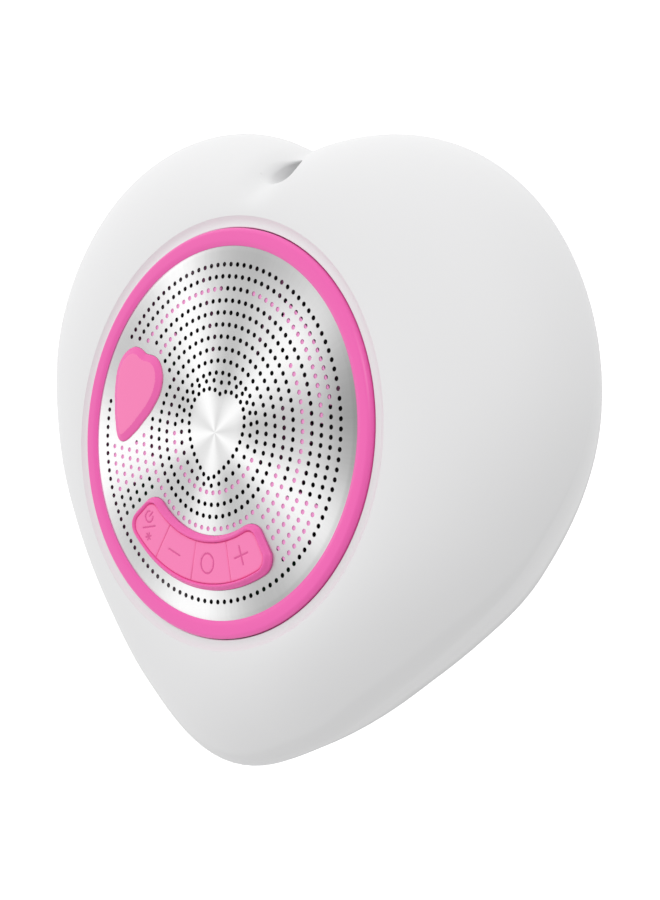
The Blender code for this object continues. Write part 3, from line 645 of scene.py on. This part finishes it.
def buildShell():
    outline = widestOutline()
    inner = widestOutline(shell["wall"])
    edge = backLoop(outline, shell["backY"])
    seat, faceY, backY = shell["seatY"], shell["faceY"], shell["backY"]
    window, collar = shell["windowRadius"], shell["collarInner"]
    loops = [circleLoop(outline, window, seat), circleLoop(outline, collar, seat)]
    loops += [circleLoop(outline, collar + out, y) for out, y in shell["coveProfile"]]
    loops += [faceLoop(outline, shell["collarOuter"], faceY, (i / shell["faceSteps"]) ** 1.15)
              for i in range(shell["faceSteps"] + 1)]
    runs = [i / shell["backSteps"] for i in range(1, shell["backSteps"] + 1)]
    straight = backY - shell["edgeDepth"]
    loops += [backLoop(outline, shell["widestY"] + (straight - shell["widestY"]) * t**1.4) for t in runs]
    for i in range(1, shell["edgeSteps"] + 1):
        turn = math.radians(90) * i / shell["edgeSteps"]
        y = straight + shell["edgeDepth"] * math.sin(turn)
        loops.append(insetLoop(backLoop(outline, y), shell["edgeInset"] * (1 - math.cos(turn)), y))
    margin, ledgeY, chamfer = shell["coverMargin"], shell["ledgeY"], shell["coverChamfer"]
    loops += [insetLoop(edge, margin - chamfer, backY), insetLoop(edge, margin, backY - chamfer),
              insetLoop(edge, margin, ledgeY), insetLoop(edge, margin + shell["ledgeWidth"], ledgeY),
              insetLoop(edge, margin + shell["ledgeWidth"], ledgeY - shell["ledgeThickness"])]
    loops += [backLoop(inner, ledgeY - 4.0), backLoop(inner, shell["widestY"] + 9.0)]
    loops += [faceLoop(inner, window + 5.0, shell["frontWallY"], i / 6) for i in range(6, -1, -1)]
    loops += [circleLoop(outline, window, shell["frontWallY"])]
    return addPiece("heartShell", skinLoops(bmesh.new(), loops, closed=True), looks["whiteShell"], "housing",
                    ["heart_shell"], sharp=0)


def cutEye(piece):
    tree = BVHTree.FromObject(piece, bpy.context.evaluated_depsgraph_get())
    lining = skinLoops(bmesh.new(), liningLoops(tree), closed=True)
    applyTool(piece, addTool("eyeCutter", eyeCutter(tree)), "DIFFERENCE")
    bm = bmesh.new()
    bm.from_mesh(piece.data)
    for vert in lining.verts:
        vert.co = toFrame(*vert.co)
    bmesh.ops.recalc_face_normals(lining, faces=lining.faces)
    tube = bpy.data.meshes.new("eyeLining")
    lining.to_mesh(tube)
    lining.free()
    bm.from_mesh(tube)
    bpy.data.meshes.remove(tube)
    bm.to_mesh(piece.data)
    bm.free()
    piece.data.shade_smooth()
    piece.data.set_sharp_from_angle(angle=math.radians(38))


def liningLoops(tree):
    # a tube round the tunnel, from inside the front skin to inside the back skin
    inset, bore, wall = eye["liningInset"], eye["liningGap"], eye["liningWall"]
    loops = []
    for atBack, grow in ((False, bore), (True, bore), (True, wall), (False, wall)):
        side = -inset if atBack else inset
        loops.append([(x, skinDepth(tree, x, z, atBack) + side, z) for x, z in eyeOutline(grow)])
    return loops


def addTool(name, bm):
    # a shape that cuts or joins another piece and is then removed
    bmesh.ops.recalc_face_normals(bm, faces=bm.faces)
    for vert in bm.verts:
        vert.co = toFrame(*vert.co)
    mesh = bpy.data.meshes.new(name)
    bm.to_mesh(mesh)
    bm.free()
    tool = bpy.data.objects.new(name, mesh)
    bpy.context.scene.collection.objects.link(tool)
    return tool


def applyTool(piece, tool, operation):
    step = piece.modifiers.new(tool.name, "BOOLEAN")
    step.operation = operation
    step.solver = "EXACT"
    step.object = tool
    graph = bpy.context.evaluated_depsgraph_get()
    result = bpy.data.meshes.new_from_object(piece.evaluated_get(graph))
    piece.modifiers.clear()
    old = piece.data
    piece.data = result
    bpy.data.meshes.remove(old)
    bpy.data.objects.remove(tool)


heartShell = buildShell()
cutEye(heartShell)
print("shell done")

# ------------------------------ the pink ring
ring = {
    "inner": 31.1,
    "outer": 34.08,
    "frontY": -0.22,
    "lipY": 0.16,
    "seatY": 2.1,
    "coverRadius": 31.9,      # the part behind the lip clears the grille's edge
    "corners": [0.0, 0.05, 0.5, 0.45, 0.25, 0.2, 0.2, 0.0],
}


def buildRing():
    front, seat = ring["frontY"], ring["seatY"]
    inner, outer, cover = ring["inner"], ring["outer"], ring["coverRadius"]
    under = grille["rimDrop"] - 0.02
    corners = [(inner, under), (inner + 0.05, ring["lipY"]), (inner + 0.7, front + 0.05),
               (outer - 0.5, front), (outer, front + 0.42), (outer, seat), (cover, seat), (cover, under)]
    profile = rounded(corners, ring["corners"], 6)
    addPiece("bezelRing", turned(profile, 288), looks["pinkRing"], "housing", ["bezel_ring"],
             50)


# ------------------------------ outlines of the keys
heartKey = {
    "radii": (9.2, 7.15, 5.8, 5.5, 5.8, 6.75, 7.75, 8.1, 6.9),
    "centre": (-21.55, 3.9),
    "lean": math.radians(-13.7),
    "topY": -0.66,
    "rimY": -0.12,
    "baseY": 0.1,
    "bevel": 1.45,
    "edgeRound": 0.3,
    "edgeShare": 0.3,         # the part of the height that the rounded edge takes up
    "spacing": 0.22,
}
keypad = {
    "frameRadii": (17.1, 26.1),
    "fieldRadii": (18.3, 25.0),
    "middle": math.radians(270),
    "frameHalf": math.radians(45.3),
    "fieldHalf": math.radians(42.2),
    "keySpan": math.radians(22.3),
    "frameCorner": 3.0,
    "fieldCorner": 2.0,
    "frameTopY": -1.2,
    "frameFootY": -0.35,
    "frameBaseY": 0.5,
    "frameSpacing": 0.2,
    "outerBevel": 0.75,
    "innerBevel": 0.6,
    "keyTopY": -0.9,
    "keyBaseY": 0.9,
    "keySpacing": 0.16,
    "keyEdge": 0.3,           # width and height of the rounding along a key's edge
    "keyEdgeHeight": 0.16,
    "gap": 0.06,
}


def heartKeyOutline(grow=0.0, halfSteps=44):
    turn = Matrix.Rotation(heartKey["lean"], 2)
    shift = Vector(heartKey["centre"])
    return [tuple(turn @ Vector(p) + shift) for p in heartLoop(heartKey["radii"], halfSteps, grow, 5.0)]


def sectorOutline(radii, middle, half, corner, steps=24, cornerSteps=8):
    inner, outer = radii
    points = []

    def arc(radius, start, end, count):
        for i in range(count + 1):
            turn = start + (end - start) * i / count
            points.append((radius * math.cos(turn), radius * math.sin(turn)))

    def roundCorner(radius, turn, start):
        cx, cz = radius * math.cos(turn), radius * math.sin(turn)
        for i in range(1, cornerSteps):
            angle = start + math.radians(90) * i / cornerSteps
            points.append((cx + corner * math.cos(angle), cz + corner * math.sin(angle)))

    low, high = middle - half, middle + half
    if not corner:
        arc(outer, low, high, steps)
        arc(inner, high, low, steps)
        return points
    outerTrim = math.asin(corner / (outer - corner))
    innerTrim = math.asin(corner / (inner + corner))
    arc(outer, low + outerTrim, high - outerTrim, steps)
    roundCorner(outer - corner, high - outerTrim, high - outerTrim)
    roundCorner(inner + corner, high - innerTrim, high + math.radians(90))
    arc(inner, high - innerTrim, low + innerTrim, steps)
    roundCorner(inner + corner, low + innerTrim, low + innerTrim + math.radians(180))
    roundCorner(outer - corner, low + outerTrim, low - math.radians(90))
    return points


def frameOutline(grow=0.0):
    radii = (keypad["frameRadii"][0] - grow, keypad["frameRadii"][1] + grow)
    return sectorOutline(radii, keypad["middle"], keypad["frameHalf"] + grow / keypad["frameRadii"][1],
                         keypad["frameCorner"], 40)


def fieldOutline(grow=0.0):
    radii = (keypad["fieldRadii"][0] - grow, keypad["fieldRadii"][1] + grow)
    return sectorOutline(radii, keypad["middle"], keypad["fieldHalf"] + grow / keypad["fieldRadii"][0],
                         keypad["fieldCorner"], 40)


# ------------------------------ the perforated grille
grille = {
    "radius": 31.55,
    "pitch": 2.0,
    "firstCircle": 5,
    "lastCircle": 14,
    "holeRadius": 0.41,
    "holeSides": 14,
    "thickness": 0.15,
    "rollStart": 30.2,        # the plate's edge rolls back from this radius
    "rollEnd": 31.1,
    "rimDrop": 0.25,
    "keyClearance": 1.1,
    "keyGap": 0.05,
    "innerHeart": {"holes": 32, "radii": (7.7, 6.57, 6.02, 6.0, 6.4, 7.15, 7.7, 7.58, 6.5)},
    "outerHeart": {"holes": 29, "radii": (8.9, 8.5, 8.12, 8.2, 8.28, 8.7, 8.87, 8.9, 8.4)},
}


def heartChain(chain):
    # holes evenly along a small heart round the disc's centre, from its cleft round
    loop = [Vector(p) for p in heartLoop(chain["radii"], 180)]
    path = loop[180:] + loop[:180]
    lengths = [0.0]
    for a, b in zip(path, path[1:] + path[:1]):
        lengths.append(lengths[-1] + (b - a).length)
    spots, k = [], 0
    for i in range(chain["holes"]):
        want = lengths[-1] * i / chain["holes"]
        while lengths[k + 1] < want:
            k += 1
        u = (want - lengths[k]) / (lengths[k + 1] - lengths[k])
        spots.append(tuple(path[k].lerp(path[(k + 1) % len(path)], u)))
    return spots


def inKeypad(x, z):
    radius = math.hypot(x, z)
    turn = abs((math.atan2(z, x) - keypad["middle"] + math.pi) % math.tau - math.pi)
    inner, outer = keypad["frameRadii"]
    return inner - 1.0 < radius < outer + 1.0 and turn < keypad["frameHalf"] + 1.35 / radius


def holePlaces():
    heart = heartKeyOutline(0.0, 30)
    places = []
    for circle in range(grille["firstCircle"], grille["lastCircle"] + 1):
        radius = circle * grille["pitch"]
        for i in range(8 * circle):
            turn = math.tau * i / (8 * circle)
            spot = (radius * math.cos(turn), radius * math.sin(turn))
            nearHeart = insideOutline(spot, heart) or distanceToPath(spot, heart) < grille["keyClearance"]
            if not (nearHeart or inKeypad(*spot)):
                places.append(spot)
    return places + heartChain(grille["innerHeart"]) + heartChain(grille["outerHeart"])


def fillOutlines(outlines, extra=()):
    # triangles inside the first outline and outside all the others
    points, loops = [], []
    for outline in outlines:
        first = len(points)
        points += [Vector(p) for p in outline]
        loops.append(list(range(first, first + len(outline))))
    points += [Vector(p) for p in extra]
    verts, _, faces, _, _, owners = delaunay_2d_cdt(points, [], loops, 1, 1e-6, True)
    return verts, [face for face, owner in zip(faces, owners) if owner == [0]]


def plateY(x, z):
    run = (math.hypot(x, z) - grille["rollStart"]) / (grille["rollEnd"] - grille["rollStart"])
    return grille["rimDrop"] * min(max(run, 0.0), 1.0) ** 1.6


def plateWithHoles(outer, holes, thickness):
    # the plate, bounded by outer and pierced by the outlines in holes
    start, end = grille["rollStart"], grille["rollEnd"]
    rollPoints = [p for i in range(5) for p in circlePoints(start + (end - start) * i / 4, 256)]
    verts, faces = fillOutlines([outer] + holes, rollPoints)
    bm = bmesh.new()
    front = [bm.verts.new((v.x, plateY(v.x, v.y), v.y)) for v in verts]
    for face in faces:
        bm.faces.new([front[i] for i in face])
    rim = [e for e in bm.edges if e.is_boundary]
    flat = bm.faces[:]
    copied = bmesh.ops.duplicate(bm, geom=flat + bm.edges[:] + bm.verts[:])
    back = {v: copied["vert_map"][v] for v in front if v in copied["vert_map"]}
    for vert in back.values():
        vert.co.y += thickness
    for edge in rim:
        a, b = edge.verts
        bm.faces.new((a, b, back[b], back[a]))
    loose = [v for v in bm.verts if not v.link_faces]
    bmesh.ops.delete(bm, geom=loose, context="VERTS")
    return bm


def buildGrille():
    outer = circlePoints(grille["radius"], 256)
    holes = [heartKeyOutline(grille["keyGap"]), frameOutline(grille["keyGap"])]
    places = holePlaces()
    holes += [circlePoints(grille["holeRadius"], grille["holeSides"], spot, 0.1) for spot in places]
    plate = plateWithHoles(outer, holes, grille["thickness"])
    addPiece("grillePlate", plate, looks["spunAluminium"], "housing", ["grille"], 30)
    print("grille done, %d holes" % len(places))


buildGrille()
buildRing()
print("ring done")

# ------------------------------ the pink ribs and plates behind the grille
carrier = {
    "frontY": 0.17,
    "backY": 1.5,
    "rim": (29.6, 31.4),
    "rimFrontY": 0.9,
    "seatY": 2.1,
    "spokeRadii": (14.0, 30.0),
    "spokeHalf": math.radians(1.2),
    "ribs": [  # inner radius, outer radius, start and end in degrees
        (9.3, 10.7, 186, 344), (15.4, 16.6, 203, 352), (19.35, 20.6, -22, 43), (19.35, 20.6, 131, 147),
        (23.4, 24.6, 98, 149), (23.3, 24.15, 12, 62), (23.4, 24.6, 60, 82), (25.0, 26.0, 18, 62),
        (17.0, 18.5, 184, 193), (17.0, 26.6, 193, 212), (17.0, 26.6, -42, -17), (13.2, 13.75, 150, 205),
        (14.2, 14.8, -20, 20),
    ],
    "spokes": [70, 110, 152, 198, 330, 24],
}


def buildCarrier():
    bm = bmesh.new()
    front, seat = carrier["rimFrontY"], carrier["seatY"]

    def addPlate(outline, y0, y1):
        skinLoops(bm, [[(x, y0, z) for x, z in outline], [(x, y1, z) for x, z in outline]], caps=True)

    for inner, outer, start, end in carrier["ribs"]:
        half = math.radians(end - start) / 2
        addPlate(sectorOutline((inner, outer), math.radians(start) + half, half, 0, 30),
                 carrier["frontY"], carrier["backY"])
    for degrees in carrier["spokes"]:
        spoke = sectorOutline(carrier["spokeRadii"], math.radians(degrees), carrier["spokeHalf"], 0, 2)
        addPlate(spoke, carrier["backY"], seat)
    rimOuter = circlePoints(carrier["rim"][1], 160)
    rimInner = circlePoints(carrier["rim"][0], 160)
    skinLoops(bm, [[(x, front, z) for x, z in rimInner], [(x, front, z) for x, z in rimOuter],
                   [(x, seat, z) for x, z in rimOuter], [(x, seat, z) for x, z in rimInner]], closed=True)
    addPiece("grilleCarrier", bm, looks["pinkCarrier"], "housing", ["grille_carrier"], 30)


buildCarrier()


# ------------------------------ soft keys
def reliefPlate(outlines, spacing, heightAt, baseY, paintedShadeAt=None):
    # a plate whose top follows heightAt over the first outline, less the outlines after it
    outer = outlines[0]
    points = []
    lowX, highX = min(p[0] for p in outer), max(p[0] for p in outer)
    lowZ, highZ = min(p[1] for p in outer), max(p[1] for p in outer)
    row = 0
    z = lowZ
    while z < highZ:
        x = lowX + (spacing / 2 if row % 2 else 0.0)
        while x < highX:
            spot = (x, z)
            if insideOutline(spot, outer) and not any(insideOutline(spot, hole) for hole in outlines[1:]):
                if min(distanceToPath(spot, o) for o in outlines) > spacing * 0.45:
                    points.append(Vector(spot))
            x += spacing
        z += spacing * 0.866
        row += 1
    verts, faces = fillOutlines(outlines, points)
    bm = bmesh.new()
    top = [bm.verts.new((v.x, heightAt((v.x, v.y)), v.y)) for v in verts]
    for face in faces:
        made = bm.faces.new([top[i] for i in face])
        # painted shade: faces the mask marks take the second, darker material
        if paintedShadeAt:
            middle = sum((verts[i] for i in face), Vector((0, 0))) / len(face)
            made.material_index = 1 if paintedShadeAt((middle.x, middle.y)) else 0
    bm.edges.ensure_lookup_table()
    rim = [e for e in bm.edges if e.is_boundary]
    copied = bmesh.ops.duplicate(bm, geom=bm.faces[:] + bm.edges[:] + bm.verts[:])
    under = {v: copied["vert_map"][v] for v in top if v in copied["vert_map"]}
    for vert in under.values():
        vert.co.y = baseY
        for face in vert.link_faces:
            face.material_index = 0
    for edge in rim:
        a, b = edge.verts
        bm.faces.new((a, b, under[b], under[a]))
    bmesh.ops.delete(bm, geom=[v for v in bm.verts if not v.link_faces], context="VERTS")
    return bm


def bevelRise(distance, width, soft):
    # 0 at the edge, 1 past the bevel, with both ends eased
    t = max(0.0, min(1.0, distance / width))
    eased = t * t * (3 - 2 * t)
    return (1 - soft) * t + soft * eased


def buildHeartKey():
    outline = heartKeyOutline()

    def heightAt(spot):
        d = distanceToPath(spot, outline)
        edge = min(1.0, d / heartKey["edgeRound"])
        slope = bevelRise(d - 0.2, heartKey["bevel"] - 0.3, 0.35)
        share = heartKey["edgeShare"]
        rise = share * math.sqrt(1 - (1 - edge) ** 2) + (1 - share) * slope
        return heartKey["rimY"] + (heartKey["topY"] - heartKey["rimY"]) * rise

    # painted shade: the bevel's faces take the darker frame pink
    def paintedShadeOnBevel(spot):
        return distanceToPath(spot, outline) < heartKey["bevel"] - 0.2

    key = reliefPlate([outline], heartKey["spacing"], heightAt, heartKey["baseY"], paintedShadeOnBevel)
    addPiece("heartKey", key, [looks["keySilicone"], looks["frameSilicone"]], "heart_key", ["heart_key"],
             60)


def buildKeypadFrame():
    outer, inner = frameOutline(), fieldOutline(keypad["gap"])

    def heightAt(spot):
        fromOuter, fromInner = distanceToPath(spot, outer), distanceToPath(spot, inner)
        innerStart = keypad["innerBevel"] / 2
        rise = min(bevelRise(fromOuter, keypad["outerBevel"], 0.8),
                   bevelRise(fromInner + innerStart, keypad["innerBevel"], 0.8))
        return keypad["frameFootY"] + (keypad["frameTopY"] - keypad["frameFootY"]) * rise

    frameBody = reliefPlate([outer, inner], keypad["frameSpacing"], heightAt, keypad["frameBaseY"])
    addPiece("keypadFrame", frameBody, looks["frameSilicone"], "housing", ["keypad_frame"],
             60)


def turnedStroke(points, centre, degrees, scale=1.0):
    # stroke points about their own centre, turned and moved onto the disc
    turn = Matrix.Rotation(math.radians(degrees), 2)
    return [tuple(centre + turn @ (Vector(p) * scale)) for p in points]


def ovalStroke(width, height, start=0.0, end=360.0, steps=28):
    turns = [math.radians(start + (end - start) * i / steps) for i in range(steps + 1)]
    return [(width / 2 * math.sin(turn), height / 2 * math.cos(turn)) for turn in turns]


glyphs = {
    "power_key": [
        turnedStroke(ovalStroke(1.9, 1.9, 40, 320), Vector((-12.5, -16.6)), -38),
        turnedStroke([(0, 0.1), (0, 1.15)], Vector((-12.5, -16.6)), -38),
        [(-13.6, -18.75), (-10.7, -17.9)],
        turnedStroke([(-0.62, 0), (0.62, 0)], Vector((-12.0, -20.0)), -38),
        turnedStroke([(-0.31, -0.54), (0.31, 0.54)], Vector((-12.0, -20.0)), -38),
        turnedStroke([(-0.31, 0.54), (0.31, -0.54)], Vector((-12.0, -20.0)), -38),
    ],
    "minus_key": [[(-6.4, -20.95), (-3.5, -21.55)]],
    "play_key": [turnedStroke(ovalStroke(3.0, 3.3), Vector((3.4, -21.4)), 9)],
    "plus_key": [
        turnedStroke([(-1.55, 0), (1.55, 0)], Vector((10.95, -18.45)), 30),
        turnedStroke([(0, -1.55), (0, 1.55)], Vector((10.95, -18.45)), 30),
    ],
}
glyphCut = {"width": 0.32, "flank": 0.08, "depth": 0.14}


def buildKeys():
    field = fieldOutline()
    low = keypad["middle"] - keypad["fieldHalf"]
    names = list(glyphs)
    for number, name in enumerate(names):
        middle = keypad["middle"] + keypad["keySpan"] * (number - 1.5)
        start, end = middle - keypad["keySpan"] / 2, middle + keypad["keySpan"] / 2
        outline = clipSector(field, start if number else None, end if number < 3 else None)
        strokes = glyphs[name]

        def strokeDistance(spot):
            return min(distanceToPath(spot, stroke, closed=False) for stroke in strokes)

        def heightAt(spot):
            d = distanceToPath(spot, outline)
            edge = min(1.0, d / keypad["keyEdge"])
            y = keypad["keyTopY"] + keypad["keyEdgeHeight"] * (1 - math.sqrt(1 - (1 - edge) ** 2))
            cut = strokeDistance(spot)
            half = glyphCut["width"] / 2 + glyphCut["flank"]
            if cut < half:
                y += glyphCut["depth"] * (1 - (cut / half) ** 2)
            return y

        # painted shade: faces inside a glyph stroke take the darker groove pink
        def paintedShadeAt(spot):
            return strokeDistance(spot) < glyphCut["width"] / 2

        key = reliefPlate([outline], keypad["keySpacing"], heightAt, keypad["keyBaseY"], paintedShadeAt)
        addPiece(name.replace("_key", "Key"), key, [looks["keySilicone"], looks["glyphGrooveShade"]], name, [name],
                 60)


def clipSector(outline, start, end):
    # the part of outline between two radial lines, each drawn half a gap inside its own
    gap = keypad["gap"] / 2
    result = [Vector(p) for p in outline]
    for turn, side in ((start, 1.0), (end, -1.0)):
        if turn is None:
            continue
        normal = Vector((-math.sin(turn), math.cos(turn))) * side
        kept = []
        for i, point in enumerate(result):
            following = result[(i + 1) % len(result)]
            a, b = point.dot(normal) - gap, following.dot(normal) - gap
            if a >= 0:
                kept.append(point)
            if (a >= 0) != (b >= 0):
                kept.append(point.lerp(following, a / (a - b)))
        result = kept
    return [tuple(p) for p in result]


buildHeartKey()
buildKeypadFrame()
buildKeys()
print("keys done")

# ------------------------------ suction cup and back
cup = {"radius": 25.0, "backY": 42.0, "lipY": 52.0}


def buildCup():
    back, lip, radius = cup["backY"], cup["lipY"], cup["radius"]
    profile = [(0, back + 4.5), (3.9, back + 4.5), (5.3, back + 3.8), (5.3, back + 1.6), (4.1, back + 1.0),
               (4.1, back + 0.4), (7.4, back + 0.4), (7.9, back + 3.4), (10.2, lip - 4.6), (14.0, lip - 2.9),
               (19.0, lip - 1.4), (radius - 0.3, lip - 0.45), (radius, lip), (radius - 3.0, lip),
               (17.0, lip - 0.7), (10.0, lip - 1.7), (0, lip - 2.4)]
    corner = [0, 0.3, 0.4, 0.3, 0.2, 0.3, 0.6, 1.2, 2.5, 3.0, 3.0, 0.3, 0.2, 1.5, 3.0, 3.0, 0]
    addPiece("suctionCup", turned(rounded(profile, corner, 6), 128), looks["clearVinyl"], "housing",
             ["suction_cup"], 60)


buildCup()
print("cup done")

# ------------------------------ floor, light and camera
stage = {
    "floorZ": -0.32,
    "floorSize": 30.0,
    "lightLevel": 0.945,
    "lightLean": (-0.285, 0.17, 0.12),
    "topLightAt": (0.29, -0.66, 0.34),
    "topLightSize": 0.22,
    "topLightPower": 0.8,
    "cameraAt": (0.16438, -0.20658, 0.01718),
    "cameraTurn": (85.549, -8.122, 42.464),
    "lens": 54.30,
}


def buildFloor():
    # a pale floor that the object's own shading ignores, so the studio light alone shapes it
    bm = bmesh.new()
    size = stage["floorSize"]
    corners = [bm.verts.new((x * size, y * size, 0.0)) for x, y in ((-1, -1), (1, -1), (1, 1), (-1, 1))]
    bm.faces.new(corners)
    mesh = bpy.data.meshes.new("floor")
    bm.to_mesh(mesh)
    bm.free()
    pale = moulded("paleFloor", (0.95, 0.95, 0.95), 0.9, 40.0, 0.01, 0.05, 0.0,
                   Emission_Color=(1.0, 1.0, 1.0, 1.0), Emission_Strength=0.3)
    mesh.materials.append(pale)
    floor = bpy.data.objects.new("floor", mesh)
    floor.location = (0.0, 0.0, stage["floorZ"])
    floor.visible_diffuse = False
    floor.visible_glossy = False
    bpy.context.scene.collection.objects.link(floor)


def buildWorld():
    # an even white studio, a little brighter towards the upper left
    world = bpy.data.worlds.new("studio")
    bpy.context.scene.world = world
    world.use_nodes = True
    tree = world.node_tree
    back = tree.nodes["Background"]
    place = tree.nodes.new("ShaderNodeTexCoord").outputs["Generated"]
    lean = tree.nodes.new("ShaderNodeVectorMath")
    lean.operation = "DOT_PRODUCT"
    tree.links.new(place, lean.inputs[0])
    lean.inputs[1].default_value = stage["lightLean"]
    soft = mathNode(tree, "ADD", lean.outputs["Value"], stage["lightLevel"])
    seen = tree.nodes.new("ShaderNodeLightPath").outputs["Is Camera Ray"]
    strength = mathNode(tree, "MAXIMUM", soft, mathNode(tree, "MULTIPLY", seen, 1.05))
    tree.links.new(strength, back.inputs["Strength"])
    back.inputs["Color"].default_value = (1.0, 1.0, 1.0, 1.0)


def buildStage():
    buildFloor()
    buildWorld()
    lamp = bpy.data.objects.new("topLight", bpy.data.lights.new("topLight", "AREA"))
    lamp.data.shape = "DISK"
    lamp.data.size = stage["topLightSize"]
    lamp.data.energy = stage["topLightPower"]
    lamp.location = stage["topLightAt"]
    lamp.rotation_euler = (-Vector(stage["topLightAt"])).to_track_quat("-Z", "Y").to_euler()
    bpy.context.scene.collection.objects.link(lamp)
    camera = bpy.data.objects.new("camera", bpy.data.cameras.new("camera"))
    camera.data.lens = stage["lens"]
    camera.data.sensor_width = 36.0
    camera.location = stage["cameraAt"]
    camera.rotation_euler = tuple(math.radians(a) for a in stage["cameraTurn"])
    bpy.context.scene.collection.objects.link(camera)
    bpy.context.scene.camera = camera
    bpy.context.scene.view_settings.view_transform = "Standard"


buildStage()
print("stage done")
